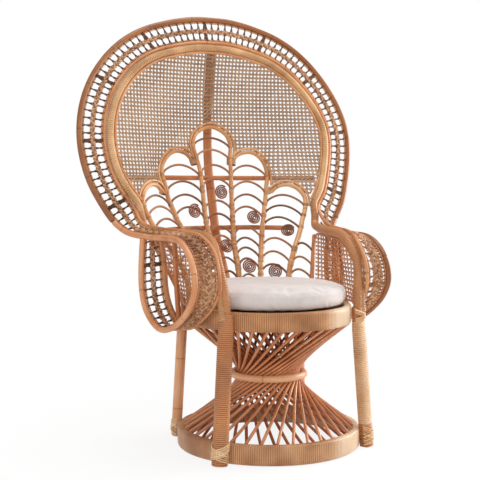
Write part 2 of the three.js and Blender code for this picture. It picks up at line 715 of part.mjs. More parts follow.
// Openings in rows that sag a little towards the sides and columns that spread a little
const sagged = ([x, z]) => [x * (1 + ((z - FAN_Z) / 4000) ** 2), z - x ** 2 / 12000];
const CORNERS = [[-1, 1], [1, 1], [1, -1], [-1, -1]];
const square = (x, z, half) => CORNERS.map(([i, j]) => sagged([x + i * half, z + j * half]));
const webOpenings = [];
for (let i = -WEB_GRID.across / 2; i < WEB_GRID.across / 2; i += 1) {
  for (let j = 0; j < WEB_GRID.rows; j += 1) {
    const middle = [(i + 0.5) * WEB_GRID.pitch, WEB_GRID.bottom + j * WEB_GRID.pitch];
    const margin = WEB_GRID.opening / 2 + WEB_GRID.edge;
    const sides = [sagged([middle[0] - margin, middle[1]]), sagged([middle[0] + margin, middle[1]])];
    const fits = [...square(...middle, margin), ...sides].every(onWeb);
    if (fits) webOpenings.push(square(...middle, WEB_GRID.opening / 2));
  }
}
place(fan, 'fan_cane', openwork([...webLow, ...webHigh], webOpenings, CANE_THICK), 'web');

// Arms
[['left', -1], ['right', 1]].forEach(([side, sign]) => {
  const from = sign < 0 ? FAN_FROM : FAN_TO;
  const to = sign < 0 ? 0 : FAN_TO + ARM_SPANS;
  const turn = (points) => (sign < 0 ? mirrored(points) : points);
  const outerRun = stretch(outerCurve, from, to, ARM_STEPS);
  const poleRun = stretch(innerCurve, from, to, ARM_STEPS);
  place(arms, `arm_outer_loop_${side}`, pole(outerRun, RIM.radius, 6), 'pole');
  const thicken = (f) => INNER_POLE.radius + (INNER_POLE.arm - INNER_POLE.radius) * Math.min(1, 4 * f);
  place(arms, `arm_inner_pole_${side}`, pole(poleRun, thicken, 5), 'dark');
  place(arms, `arm_lattice_${side}`, lattice(outerRun, poleRun, ARM_CELLS, RIM.radius, thicken), 'dark');
  const frameFrom = sign < 0 ? frameSpans : frameSpans + FAN_SPANS;
  const frameTo = sign < 0 ? 0 : frameSpans + FAN_SPANS + frameSpans;
  const swell = (f) => WRAP_BAND.radius + (FRAME_RADIUS - WRAP_BAND.radius) * Math.min(1, f * 2.2) - 2.5 * f * f;
  place(arms, `arm_frame_${side}`, pole(stretch(frameCurve, frameFrom, frameTo, 22), swell, 6), 'wrap');
  place(arms, `arm_post_${side}`, pole(route(turn(ARM_POST), 6), 8, 6), 'pole');
  const columns = PANEL_COLUMNS.map(([y, x, z, foot]) => {
    const low = new THREE.Vector3(sign * Math.sqrt(PANEL.ring ** 2 - foot ** 2), foot, PANEL.bottom);
    const high = new THREE.Vector3(sign * x, y, z);
    return [0, 0.5, 1].map((f) => low.clone().lerp(high, f));
  });
  const web = sign < 0 ? columns : columns.reverse();
  place(arms, `arm_panel_${side}`, sheet(web, PANEL.thick, () => new THREE.Vector3(-sign, 0, 0)), 'web');
  place(arms, `arm_slat_${side}`, pole(route(turn(ARM_BRACE), 4), 8.5, 6), 'pole');
});

// Plume: five feathers, their rungs and scrolls, and the braces behind them
const centreRun = route([...mirrored(CENTRE_HALF), CENTRE_TOP, ...[...CENTRE_HALF].reverse()], 36);
const centreStems = {
  left: route([...mirrored(CENTRE_HALF), [0, 467, 1068]], 40),
  right: route([...CENTRE_HALF, [0, 467, 1068]], 40),
};
const midStems = { left: route(mirrored(MID_FEATHER), 40), right: route(MID_FEATHER, 40) };
const sideStems = { left: route(mirrored(SIDE_FEATHER), 40), right: route(SIDE_FEATHER, 40) };
const endPosts = { left: route(mirrored(ARM_POST), 20), right: route(ARM_POST, 20) };
place(plume, 'feather_centre', feather(centreRun), 'pole');
place(plume, 'feather_mid_left', feather(route(mirrored(MID_FEATHER), 22)), 'pole');
place(plume, 'feather_mid_right', feather(route(MID_FEATHER, 22)), 'pole');
place(plume, 'feather_side_left', feather(route(mirrored(SIDE_FEATHER), 20)), 'pole');
place(plume, 'feather_side_right', feather(route(SIDE_FEATHER, 20)), 'pole');

const CELLS = {
  centre: [centreStems.left, centreStems.right],
  midLeft: [midStems.left, centreStems.left],
  midRight: [centreStems.right, midStems.right],
  sideLeft: [sideStems.left, midStems.left],
  sideRight: [midStems.right, sideStems.right],
  endLeft: [endPosts.left, sideStems.left],
  endRight: [sideStems.right, endPosts.right],
};
place(plume, 'rungs_centre', rungs(...CELLS.centre, RUNGS_CENTRE), 'dark');
place(plume, 'rungs_mid_left', rungs(...CELLS.midLeft, RUNGS_MID), 'dark');
place(plume, 'rungs_mid_right', rungs(...CELLS.midRight, RUNGS_MID), 'dark');
place(plume, 'rungs_side_left', rungs(...CELLS.sideLeft, RUNGS_SIDE), 'dark');
place(plume, 'rungs_side_right', rungs(...CELLS.sideRight, RUNGS_SIDE), 'dark');
place(plume, 'rungs_end_left', rungs(...CELLS.endLeft, RUNGS_END), 'dark');
place(plume, 'rungs_end_right', rungs(...CELLS.endRight, RUNGS_END), 'dark');

SCROLLS.forEach(([name, x, z, cell]) => {
  const [left, right] = CELLS[cell];
  const a = stemAt(left, z);
  const b = stemAt(right, z);
  const across = b.clone().sub(a).normalize();
  const rise = stemAt(right, z + 25).sub(stemAt(right, z - 25));
  const up = rise.addScaledVector(across, -rise.dot(across)).normalize();
  const ahead = across.clone().cross(up);
  const centre = a.clone().lerp(b, (x - a.x) / (b.x - a.x)).addScaledVector(ahead, SCROLL.lift);
  const points = scroll(centre, across, up, 8);
  const least = leastGap(points, SCROLL.wire, SCROLL.steps);
  console.log(`${name}: least gap between turns ${least.toFixed(2)} mm`);
  place(plume, name, pole(points, SCROLL.wire, 4, ahead.toArray()), 'dark');
});

place(plume, 'centre_post', bar(route(POST_PATH, 12), POST.half, POST.thick), 'dark');
const wholeRail = (half) => [...mirrored(half.slice(1)).reverse(), ...half];
place(plume, 'upper_rail', pole(route(wholeRail(UPPER_RAIL), 14), RAIL, 6), 'dark');
place(plume, 'lower_rail', pole(route(wholeRail(LOWER_RAIL), 12), RAIL, 6), 'dark');

// Origin on the floor under the middle of the chair's length and width
const reach = new THREE.Box3().setFromObject(chair, true);
chair.position.y = -(reach.min.y + reach.max.y) / 2;
console.log(`base ring axis at y ${chair.position.y.toFixed(3)} mm`);

export default chair;
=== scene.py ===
"""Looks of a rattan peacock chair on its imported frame: poles, windings, cane web, braids and a loose cushion."""
from __future__ import annotations

import logging
import math
import random
from dataclasses import dataclass, field
from enum import Enum
from functools import partial
from typing import Any, Callable, Sequence

import bmesh
import bpy
from bpy.types import Material, Mesh, NodeSocket, NodeTree, Object
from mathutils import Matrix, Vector


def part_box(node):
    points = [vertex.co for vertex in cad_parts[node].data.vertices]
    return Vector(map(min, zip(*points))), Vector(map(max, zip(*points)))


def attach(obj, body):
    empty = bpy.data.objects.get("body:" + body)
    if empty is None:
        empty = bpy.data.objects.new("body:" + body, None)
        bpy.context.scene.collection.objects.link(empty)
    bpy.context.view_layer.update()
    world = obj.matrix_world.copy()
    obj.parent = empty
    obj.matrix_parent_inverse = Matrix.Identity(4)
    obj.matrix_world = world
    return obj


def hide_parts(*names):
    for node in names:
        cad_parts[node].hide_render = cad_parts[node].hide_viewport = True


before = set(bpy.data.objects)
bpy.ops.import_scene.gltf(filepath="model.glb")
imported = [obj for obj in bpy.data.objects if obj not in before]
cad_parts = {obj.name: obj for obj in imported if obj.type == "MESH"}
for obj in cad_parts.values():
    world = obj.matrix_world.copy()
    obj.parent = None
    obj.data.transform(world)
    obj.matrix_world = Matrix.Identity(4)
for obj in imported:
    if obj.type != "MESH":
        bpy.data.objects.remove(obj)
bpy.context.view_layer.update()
LOG = logging.getLogger("peacock_chair")

MM = 0.001
TURN = 2 * math.pi
UP = Vector((0, 0, 1))
REAR = Vector((0, 1, 0))
# The frame's origin lies under the middle of the outside box; the sizes below are from the base ring's axis.
AXIS_Y = (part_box("base_ring")[0][1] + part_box("base_ring")[1][1]) / 2

Row = tuple[float, float]
Spot = tuple[float, float, float]
Path = Sequence[Vector]


class Body(Enum):
    """The rigid bodies that pieces ride on."""

    CHAIR = "chair"
    CUSHION = "cushion"


class Slot(Enum):
    """The record's material slots."""

    POLE = "pole"
    WRAP = "wrap"
    DARK = "dark"
    WEB = "web"
    CLOTH = "cloth"


class Side(Enum):
    """The chair's two sides, as the sign of X."""

    LEFT = -1
    RIGHT = 1

    @property
    def label(self) -> str:
        """The side's name as the CAD nodes have it."""
        return self.name.lower()


# Fan border: radius of its outline about (0, FAN_Z) at each angle above the horizontal, and its depth by height
FAN_Z = 1000.0
FAN_END = -32.0
FAN_SPANS = 30
OUTLINE: list[Row] = [
    (-40, 520), (-32, 527), (-25, 532), (-15, 538), (-5, 543), (5, 547), (15, 544),
    (25, 537), (35, 528), (45, 518), (55, 505), (65, 490), (75, 481), (90, 475),
]
RIM_Y: list[Row] = [
    (600, 240), (700, 285), (790, 310), (860, 335), (950, 355), (1070, 375),
    (1260, 425), (1350, 445), (1410, 455), (1470, 460), (1600, 470),
]
# Lean of the border in degrees, from its ends over a span of degrees
LEAN_LOW, LEAN_HIGH, LEAN_SPAN = -2, 8, 42
# Bowl of the back: depth of its centre line, and how fast its sides come forward
BOWL_Y: list[Row] = [
    (450, 250), (546, 300), (633, 350), (723, 385), (832, 412), (910, 430), (1000, 455),
    (1080, 467), (1150, 470), (1250, 462), (1340, 446),
]
BOWL_K: list[Row] = [
    (450, 1.9), (530, 1.7), (700, 1.45), (796, 1.28), (850, 1.07), (900, 0.93), (1000, 0.9),
    (1100, 0.85), (1167, 0.75), (1266, 0.52), (1340, 0.5),
]
BOWL_FLARE = 400000.0
# Lower edge of the cane web, just outside the feathers' crowns, for x at and right of the centre
WEB_FLOOR: list[Row] = [
    (0, 1077), (36, 1068), (62, 1051), (78, 1029), (85, 1007), (88, 961), (104, 973), (128, 983), (150, 984),
    (180, 972), (205, 944), (219, 915), (223, 841), (238, 854), (256, 861), (276, 862), (302, 849), (328, 818),
]
# How the web is drawn back to the crowns: its softness, and where the pull starts and how far it reaches
CROWN_SOFT, CROWN_NEAR, CROWN_REACH = 60, 12, 70
# Right arm, from the fan's end along the top, down the front, under and up the back
ARM_OUTER: list[Spot] = [
    (405, 262, 693), (365, 150, 678), (349, 30, 680), (347, -75, 672), (347, -145, 636), (347, -183, 585),
    (347, -188, 535), (347, -158, 485), (348, -95, 437), (354, -20, 400), (365, 40, 389), (374, 90, 407),
    (381, 135, 446), (384, 160, 500), (384.5, 166, 575), (377, 171, 679),
]
ARM_INNER: list[Spot] = [
    (355, 238, 722), (318, 130, 704), (292, 30, 699), (275, -75, 688), (265, -147, 645), (265, -183, 585),
    (265, -187, 530), (271, -155, 477), (282, -93, 430), (290, -25, 399), (297, 34, 397), (303, 80, 423),
    (308, 116, 464), (310, 138, 512), (311.5, 146, 580), (325, 151, 705),
]
ARM_FRAME: list[Spot] = [
    (341, 279, 737), (335, 268, 706), (320, 222, 697), (295, 150, 692), (265, 50, 690), (250, -45, 685),
    (246, -90, 668), (248.5, -122, 640), (250.5, -150.5, 598), (245, -166, 548), (239, -171, 503),
    (236, -175.5, 457),
]
ARM_BRACE: list[Spot] = [(299.5, 50, 415), (304, 63, 560), (303.5, 76, 694)]
ARM_POST: list[Spot] = [
    (245.2, 144.3, 412), (245.8, 145, 460), (259, 162, 505), (290, 205, 590), (320, 247, 668),
]
# Side panel columns: y, x and z at the top edge, and y at the bottom edge
PANEL_COLUMNS: list[tuple[float, float, float, float]] = [
    (-141, 246, 566, -150), (-131, 248, 597, -140), (-108, 247.5, 622, -122), (-80, 246.5, 646, -96),
    (-42, 250, 663, -52), (0, 256, 668, -16), (60, 267, 672, 30), (120, 285.5, 672, 70),
    (175, 303.5, 673, 100), (222, 312, 667, 122),
]
PANEL_FOOT, PANEL_HEAD = 463.0, 676
PANEL_RING = 279.5
# Feathers, right of the centre, and the pole radius by height
CENTRE_HALF: list[Spot] = [
    (30.6, 284.6, 412), (30.6, 284.6, 456), (33, 289, 500), (37, 303, 548), (44.5, 353, 633), (54, 386, 723),
    (57.5, 404, 820), (62.5, 420, 905), (69, 441, 955), (76, 454, 1000), (66, 461, 1034), (36, 466, 1058),
]
CENTRE_TOP: Spot = (0, 467, 1068)
MID_FEATHER: list[Spot] = [
    (84, 447, 944), (104, 446, 964), (127, 442, 973), (150, 436, 975), (180, 430, 962), (205, 425, 930),
    (213, 420, 900), (211, 413, 877), (203, 405, 845), (195, 396, 797), (184, 384, 763), (174, 370, 728),
    (161, 355, 695), (145, 330, 640), (128, 301, 580), (115, 278, 525), (110.3, 264.3, 458), (110.3, 264.3, 412),
]
SIDE_FEATHER: list[Spot] = [
    (218, 399, 823), (236, 387, 843), (256, 374, 852), (276, 361, 852), (302, 341, 838), (322, 321, 805),
    (318, 311, 768), (300, 300, 724), (272, 274, 672), (243, 251, 630), (221, 235, 588), (201, 221, 538),
    (194.3, 210.4, 460), (194.3, 210.4, 412),
]
FEATHER_RADIUS: list[Row] = [(412, 10.5), (620, 10), (800, 8.5), (900, 7.6), (1100, 7.5)]
POST_PATH: list[Spot] = [
    (0, 298, 412), (0, 304, 455), (0, 338, 530), (0, 395, 625), (0, 432, 720), (0, 462, 830), (0, 482, 900),
    (0, 491, 980), (0, 493, 1058), (0, 490, 1120), (0, 476, 1240), (0, 461, 1341),
]
UPPER_RAIL: list[Spot] = [(0, 455, 877), (110, 449, 877), (215, 434, 877), (330, 388, 877), (390, 366, 877)]
LOWER_RAIL: list[Spot] = [(0, 402, 694), (90, 394, 694), (165, 378, 693), (230, 337, 692), (270, 309, 691)]
# Legs: radius and angle from the front of foot and top, height, and radius of the leg
FRONT_LEG = ((323, 54.8), (293.5, 53.3), 455, 18.6)
REAR_LEG = ((321, 131), (296, 131), 440, 17.5)
LEG_HEAD: list[Spot] = [(250, -180, 440), (262, -168, 552)]
# Crossed lashings of each leg: lowest and highest point, and canes each way
FOOT_LASH, REAR_LASH = (5, 72, 5), (392, 436, 4)
LASHED: dict[str, tuple[tuple[int, int, int], ...]] = {
    "front_leg_left": (FOOT_LASH,), "front_leg_right": (FOOT_LASH, (402, 460, 3)),
    "rear_leg_left": (FOOT_LASH, REAR_LASH), "rear_leg_right": (FOOT_LASH, REAR_LASH),
}


def at(spot: Sequence[float]) -> Vector:
    """Turns a spot in mm from the base ring's axis into metres in the frame.

    Args:
        spot: X, Y and Z in mm.

    Returns:
        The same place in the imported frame.
    """
    return Vector((spot[0] * MM, spot[1] * MM + AXIS_Y, spot[2] * MM))


def mirrored(spots: Sequence[Spot], side: Side = Side.LEFT) -> list[Spot]:
    """Returns the spots on the named side of the chair."""
    return [(side.value * x, y, z) for x, y, z in spots]


def circle(count: int, radius: float = 1.0, shift: float = 0.0) -> list[Row]:
    """Returns points round a circle, turned on by a share of a step."""
    turns = [TURN * (i + shift) / count for i in range(count)]
    return [(radius * math.cos(t), radius * math.sin(t)) for t in turns]


def table(rows: Sequence[Row], key: float) -> float:
    """Reads a table by straight lines between its rows, held at its ends.

    Args:
        rows: Pairs of key and value, in rising order of key.
        key: Where to read.

    Returns:
        The value at that key.
    """
    if key <= rows[0][0]:
        return rows[0][1]
    for (k0, v0), (k1, v1) in zip(rows, rows[1:]):
        if key <= k1:
            return v0 + (v1 - v0) * (key - k0) / (k1 - k0)
    return rows[-1][1]


class SmoothCurve:
    """A centripetal curve through control points, read by control index."""

    def __init__(self, points: Path) -> None:
        """Keeps the control points."""
        self.points = [Vector(p) for p in points]

    def at(self, index: float) -> Vector:
        """Reads the curve.

        Args:
            index: A control index, whole numbers being the control points.

        Returns:
            The point there.
        """
        pts = self.points
        last = len(pts) - 1
        index = min(max(index, 0.0), float(last))
        i = min(int(index), last - 1)
        w = index - i
        p1, p2 = pts[i], pts[i + 1]
        p0 = pts[i - 1] if i > 0 else 2 * p1 - p2
        p3 = pts[i + 2] if i + 2 <= last else 2 * p2 - p1
        d0, d1, d2 = ((b - a).length ** 0.5 or 1e-4 for a, b in ((p0, p1), (p1, p2), (p2, p3)))
        t1 = ((p1 - p0) / d0 - (p2 - p0) / (d0 + d1) + (p2 - p1) / d1) * d1
        t2 = ((p2 - p1) / d1 - (p3 - p1) / (d1 + d2) + (p3 - p2) / d2) * d1
        c2 = -3 * p1 + 3 * p2 - 2 * t1 - t2
        c3 = 2 * p1 - 2 * p2 + t1 + t2
        return p1 + t1 * w + c2 * (w * w) + c3 * (w * w * w)

    def even(self, step: float, start: float = 0.0, stop: float | None = None) -> list[tuple[float, Vector]]:
        """Walks the curve in equal steps of length.

        Args:
            step: The wanted length of a step in metres, stretched to fit.
            start: First control index.
            stop: Last control index, or None for the end.

        Returns:
            Pairs of control index and point.
        """
        stop = float(len(self.points) - 1) if stop is None else stop
        fine = max(int(abs(stop - start) * 24), 8)
        marks = [start + (stop - start) * i / fine for i in range(fine + 1)]
        spots = [self.at(m) for m in marks]
        total = [0.0]
        for a, b in zip(spots, spots[1:]):
            total.append(total[-1] + (b - a).length)
        count = max(round(total[-1] / step), 1)
        walk: list[tuple[float, Vector]] = []
        k = 0
        for i in range(count + 1):
            want = total[-1] * i / count
            while k < fine - 1 and total[k + 1] < want:
                k += 1
            f = (want - total[k]) / max(total[k + 1] - total[k], 1e-9)
            mark = marks[k] + (marks[k + 1] - marks[k]) * f
            walk.append((mark, self.at(mark)))
        return walk

    def run(self, step: float, start: float = 0.0, stop: float | None = None) -> list[Vector]:
        """Returns only the points of an even walk."""
        return [point for _, point in self.even(step, start, stop)]


def bent(spots: Sequence[Sequence[float]], step: float) -> list[Vector]:
    """Returns a smooth path through spots in mm, in equal steps in metres."""
    return SmoothCurve([at(s) for s in spots]).run(step)


def smooth(rows: Sequence[Row]) -> Callable[[float], float]:
    """Makes a smooth table reader.

    Args:
        rows: Pairs of key and value.

    Returns:
        A function of the key.
    """
    curve = SmoothCurve([Vector((k, v, 0)) for k, v in rows])
    fine = len(rows) * 12
    dense = [curve.at((len(rows) - 1) * i / fine) for i in range(fine + 1)]
    return partial(table, [(p.x, p.y) for p in dense])


outline, rim_y, bowl_y, bowl_k = (smooth(rows) for rows in (OUTLINE, RIM_Y, BOWL_Y, BOWL_K))


def border(inset: float, angle: float) -> Spot:
    """A spot of the fan border.

    Args:
        inset: Distance in from the outline, in mm.
        angle: Degrees above the horizontal, from -32 on the right over the top to 212.

    Returns:
        The spot in mm.
    """
    folded = 180 - angle if angle > 90 else angle
    lean = LEAN_LOW + (folded - FAN_END) * (LEAN_HIGH - LEAN_LOW) / LEAN_SPAN
    lean = math.radians(min(max(lean, LEAN_LOW), LEAN_HIGH))
    full = outline(folded)
    radius = full - inset * math.cos(lean)
    turn = math.radians(folded)
    x = radius * math.cos(turn) * (-1 if angle > 90 else 1)
    y = rim_y(FAN_Z + full * math.sin(turn)) - inset * math.sin(lean)
    return (x, y, FAN_Z + radius * math.sin(turn))


CENTRE_FEATHER = [*mirrored(CENTRE_HALF), CENTRE_TOP, *CENTRE_HALF[::-1]]
CROWN_LINE = [
    spot
    for run in ([*CENTRE_HALF[7:], CENTRE_TOP], MID_FEATHER[:9], SIDE_FEATHER[:8])
    for spot in SmoothCurve([Vector(p) for p in run]).run(12.0)
]


def web_depth(x: float, z: float) -> float:
    """Depth of the cane web: the bowl's, drawn back to the feathers' poles beside their crowns.

    Args:
        x: Place across the back, in mm.
        z: Height.

    Returns:
        The Y there.
    """
    total = depth = 0.0
    nearest = 1e9
    for spot in CROWN_LINE:
        gap = (spot.x - abs(x)) ** 2 + (spot.z - z) ** 2
        nearest = min(nearest, gap)
        share = 1 / (gap + CROWN_SOFT) ** 2
        total += share
        depth += share * spot.y
    plain = bowl_y(z) - bowl_k(z) * x * x / 1000 / (1 + x * x / BOWL_FLARE)
    near = min(max(1 - (math.sqrt(nearest) - CROWN_NEAR) / CROWN_REACH, 0.0), 1.0)
    return plain + (depth / total - plain) * near * near * (3 - 2 * near)


def border_curve(inset: float, arm: Sequence[Spot]) -> SmoothCurve:
    """A border pole from the left arm through the fan to the right arm.

    Args:
        inset: The pole's distance in from the fan's outline.
        arm: Its spots along the right arm.

    Returns:
        The curve, whose fan part runs over 30 spans after the left arm's.
    """
    spots = mirrored(arm)[::-1]
    sweep = (180 - 2 * FAN_END) / FAN_SPANS
    spots += [border(inset, 180 - FAN_END - i * sweep) for i in range(FAN_SPANS + 1)]
    return SmoothCurve([at(s) for s in [*spots, *arm]])


# Materials


def linear(code: str) -> tuple[float, float, float, float]:
    """Turns an sRGB hex colour into a linear one.

    Args:
        code: Six hex digits after a #.

    Returns:
        Linear red, green and blue, with alpha 1.
    """
    parts = [int(code[i:i + 2], 16) / 255 for i in (1, 3, 5)]
    red, green, blue = (p / 12.92 if p <= 0.04045 else ((p + 0.055) / 1.055) ** 2.4 for p in parts)
    return (red, green, blue, 1.0)


def add(
    tree: NodeTree, kind: str, inputs: dict[str | int, Any] | None = None, out: str | int = 0,
    stops: Sequence[tuple[float, str]] = (), **settings: Any
) -> NodeSocket | None:
    """Adds a node with its settings and links.

    Args:
        tree: The node tree.
        kind: The node's type.
        inputs: A socket to link from, or a value, by input name or number.
        out: The output that is wanted, by name or number.
        stops: Positions and hex colours of a ramp.
        settings: Values of the node's own properties.

    Returns:
        That output, or None from a node that has none.
    """
    node = tree.nodes.new(kind)
    for key, value in settings.items():
        setattr(node, key, value)
    for key, value in (inputs or {}).items():
        if isinstance(value, NodeSocket):
            tree.links.new(value, node.inputs[key])
        else:
            node.inputs[key].default_value = value
    for number, (place, code) in enumerate(stops):
        if number == 1 and len(stops) > 2:
            node.color_ramp.elements.new(0.5)
        node.color_ramp.elements[number].position = place
        node.color_ramp.elements[number].color = linear(code)
    return node.outputs[out] if len(node.outputs) else None


def blank_material(name: str) -> tuple[Material, NodeTree]:
    """Makes an empty node material.

    Args:
        name: Its name.

    Returns:
        The material and its tree.
    """
    material = bpy.data.materials.new(name)
    material.use_nodes = True
    material.node_tree.nodes.clear()
    return material, material.node_tree


MADE: dict[str, Material] = {}


@dataclass(frozen=True)
class Finish:
    """A finish, whose material is built once."""

    name: str

    def surface(self, tree: NodeTree) -> dict[str, Any]:
        """Returns the shader's inputs, which each kind of finish makes in its own way."""
        raise NotImplementedError

    def material(self) -> Material:
        """Gives the material, built the first time.

        Returns:
            The material.
        """
        if self.name not in MADE:
            MADE[self.name], tree = blank_material(self.name)
            shader = add(tree, "ShaderNodeBsdfPrincipled", self.surface(tree))
            add(tree, "ShaderNodeOutputMaterial", {"Surface": shader})
        return MADE[self.name]


@dataclass(frozen=True)
class Rattan(Finish):
    """Any rattan: three tones, mixed by patches, by streaks and by each strand's own number."""

    light: str
    base: str
    dark: str

    def grain(self, tree: NodeTree) -> tuple[NodeSocket, ...]:
        """Reads a strand's number and its grain, slid along by that number so that no two strands match.

        Args:
            tree: The node tree.

        Returns:
            The strand's number, the grain and the slid grain.
        """
        grain = add(tree, "ShaderNodeUVMap", out="UV", uv_map="Grain")
        strand = add(tree, "ShaderNodeAttribute", out="Fac", attribute_name="strand")
        jump = add(tree, "ShaderNodeVectorMath", {0: (3.7, 1.3, 0), "Scale": strand}, operation="SCALE")
        return strand, grain, add(tree, "ShaderNodeVectorMath", {0: grain, 1: jump}, operation="ADD")

    def toned(
        self, tree: NodeTree, parts: Sequence[tuple[NodeSocket, float]], shift: float, places: Sequence[float]
    ) -> NodeSocket:
        """Colours the surface.

        Args:
            tree: The node tree.
            parts: What makes the tone, each with its share.
            shift: What is added to their sum.
            places: Where the dark, the base and the light tone lie in that sum.

        Returns:
            The colour.
        """
        total: Any = shift
        for value, share in parts:
            total = add(tree, "ShaderNodeMath", {0: value, 1: share, 2: total}, operation="MULTIPLY_ADD")
        tones = list(zip(places, (self.dark, self.base, self.light)))
        return add(tree, "ShaderNodeValToRGB", {"Fac": total}, "Color", tones)


@dataclass(frozen=True)
class RattanPole(Rattan):
    """Peeled rattan, bent green and lacquered: long fibres, a dark ring at each joint, a soft satin sheen."""

    roughness: float = 0.44
    internode: float = 0.17
    gloss: float = 0.12
    polish: float = 0.3

    def surface(self, tree: NodeTree) -> dict[str, Any]:
        """Builds the finish, with its fibres along the pole's own UV map.

        Args:
            tree: The material's tree.

        Returns:
            The shader's inputs.
        """
        strand, _, slid = self.grain(tree)
        # Fibre bundles about 70 mm long and 3 mm wide: real ones are finer than the render can show
        fibre = add(tree, "ShaderNodeMapping", {"Vector": slid, "Scale": (14, 330, 1)})
        streak = add(tree, "ShaderNodeTexNoise", {"Vector": fibre, "Scale": 1.0, "Detail": 3.0, "Roughness": 0.6},
                     "Fac", noise_dimensions="2D")
        # Patches of sun and stain, about 120 mm
        place = add(tree, "ShaderNodeTexCoord", out="Object")
        patch = add(tree, "ShaderNodeTexNoise", {"Vector": place, "Scale": 8.0, "Detail": 2.0}, "Fac")
        colour = self.toned(tree, ((patch, 0.75), (streak, 0.5), (strand, 0.22)), -0.12, (0.2, 0.5, 0.85))
        # One joint ring every internode, about 3 mm wide
        along = add(tree, "ShaderNodeSeparateXYZ", {0: slid}, "X")
        cells = add(tree, "ShaderNodeMath", {0: along, 1: 1 / self.internode}, operation="MULTIPLY")
        ring = add(tree, "ShaderNodeMath", {0: cells, 1: 0.5}, operation="PINGPONG")
        mask = add(tree, "ShaderNodeMapRange",
                   {"Value": ring, "From Min": 0.018, "From Max": 0.006, "To Min": 0.0, "To Max": 0.6})
        ringed = add(tree, "ShaderNodeMix", {0: mask, 6: colour, 7: linear(self.dark)}, 2, data_type="RGBA")
        height = add(tree, "ShaderNodeMath", {0: mask, 1: 1.5, 2: streak}, operation="MULTIPLY_ADD")
        bump = add(tree, "ShaderNodeBump", {"Height": height, "Strength": 0.35, "Distance": 0.0006})
        return {"Base Color": ringed, "Roughness": self.roughness, "Normal": bump, "IOR": 1.5,
                "Coat Weight": self.gloss, "Coat Roughness": self.polish}


@dataclass(frozen=True)
class WoundPeel(Rattan):
    """Rattan peel, split flat and wound edge to edge: each turn its own tone, with dark joints between turns, and on
    some rings painted light on the chair's right.
    """

    joint: float = 0.65
    roughness: float = 0.5
    spread: float = 0.36
    # Share of painted light and sheen mixed in on the chair's right
    fade: float = 0.0

    def surface(self, tree: NodeTree) -> dict[str, Any]:
        """Builds the finish from each turn's own number and its UV map, which runs along the turn.

        Args:
            tree: The material's tree.

        Returns:
            The shader's inputs.
        """
        strand, grain, slid = self.grain(tree)
        # Fibres along the turn: 25 mm by one sixth of its width
        fibre = add(tree, "ShaderNodeMapping", {"Vector": slid, "Scale": (40, 6, 1)})
        streak = add(tree, "ShaderNodeTexNoise", {"Vector": fibre, "Scale": 1.0, "Detail": 3.0}, "Fac",
                     noise_dimensions="2D")
        # Patches of stain, about 90 mm
        place = add(tree, "ShaderNodeTexCoord", out="Object")
        patch = add(tree, "ShaderNodeTexNoise", {"Vector": place, "Scale": 11.0, "Detail": 2.0}, "Fac")
        tones = (0.2, 0.34 + self.spread / 2, 0.54 + self.spread)
        colour = self.toned(tree, ((patch, 0.7), (streak, 0.3), (strand, self.spread)), -0.1, tones)
        if self.fade:
            # Painted light and sheen: turns on the chair's right are mixed towards the light tone, setting in over 80
            # mm
            side = add(tree, "ShaderNodeSeparateXYZ", {0: place}, "X")
            painted_light_share = add(tree, "ShaderNodeMapRange",
                        {"Value": side, "From Min": 0.05, "From Max": 0.13, "To Max": self.fade},
                        interpolation_type="SMOOTHSTEP")
            colour = add(tree, "ShaderNodeMix", {0: painted_light_share, 6: colour, 7: linear(self.light)}, 2, data_type="RGBA")
        # Dark joints, an eighth of the turn's width at each edge
        across = add(tree, "ShaderNodeSeparateXYZ", {0: grain}, "Y")
        edge = add(tree, "ShaderNodeMath", {0: across, 1: 0.5}, operation="PINGPONG")
        shade = add(tree, "ShaderNodeMapRange",
                    {"Value": edge, "From Min": 0.12, "From Max": 0.0, "To Min": 0.0, "To Max": self.joint})
        edged = add(tree, "ShaderNodeMix", {0: shade, 6: colour, 7: linear(self.dark)}, 2, data_type="RGBA")
        bump = add(tree, "ShaderNodeBump", {"Height": streak, "Strength": 0.2, "Distance": 0.0004})
        return {"Base Color": edged, "Roughness": self.roughness, "Normal": bump, "IOR": 1.5,
                "Coat Weight": 0.3, "Coat Roughness": 0.28}


@dataclass(frozen=True)
class ThinCane(Rattan):
    """Thin rattan core or split cane: matt, each strand its own tone, with short darker stretches."""

    roughness: float = 0.55
    grain_scale: float = 60.0

    def surface(self, tree: NodeTree) -> dict[str, Any]:
        """Builds the finish from each strand's own number and a fine mottle of about 17 mm.

        Args:
            tree: The material's tree.

        Returns:
            The shader's inputs.
        """
        strand = add(tree, "ShaderNodeAttribute", out="Fac", attribute_name="strand")
        place = add(tree, "ShaderNodeTexCoord", out="Object")
        mottle = add(tree, "ShaderNodeTexNoise",
                     {"Vector": place, "Scale": self.grain_scale, "Detail": 3.0, "Roughness": 0.6}, "Fac")
        # Patches of stain, about 140 mm
        patch = add(tree, "ShaderNodeTexNoise", {"Vector": place, "Scale": 7.0, "Detail": 1.0}, "Fac")
        colour = self.toned(tree, ((patch, 0.5), (mottle, 0.5), (strand, 0.4)), -0.15, (0.2, 0.52, 0.85))
        bump = add(tree, "ShaderNodeBump", {"Height": mottle, "Strength": 0.2, "Distance": 0.0004})
        return {"Base Color": colour, "Roughness": self.roughness, "Normal": bump, "IOR": 1.5}


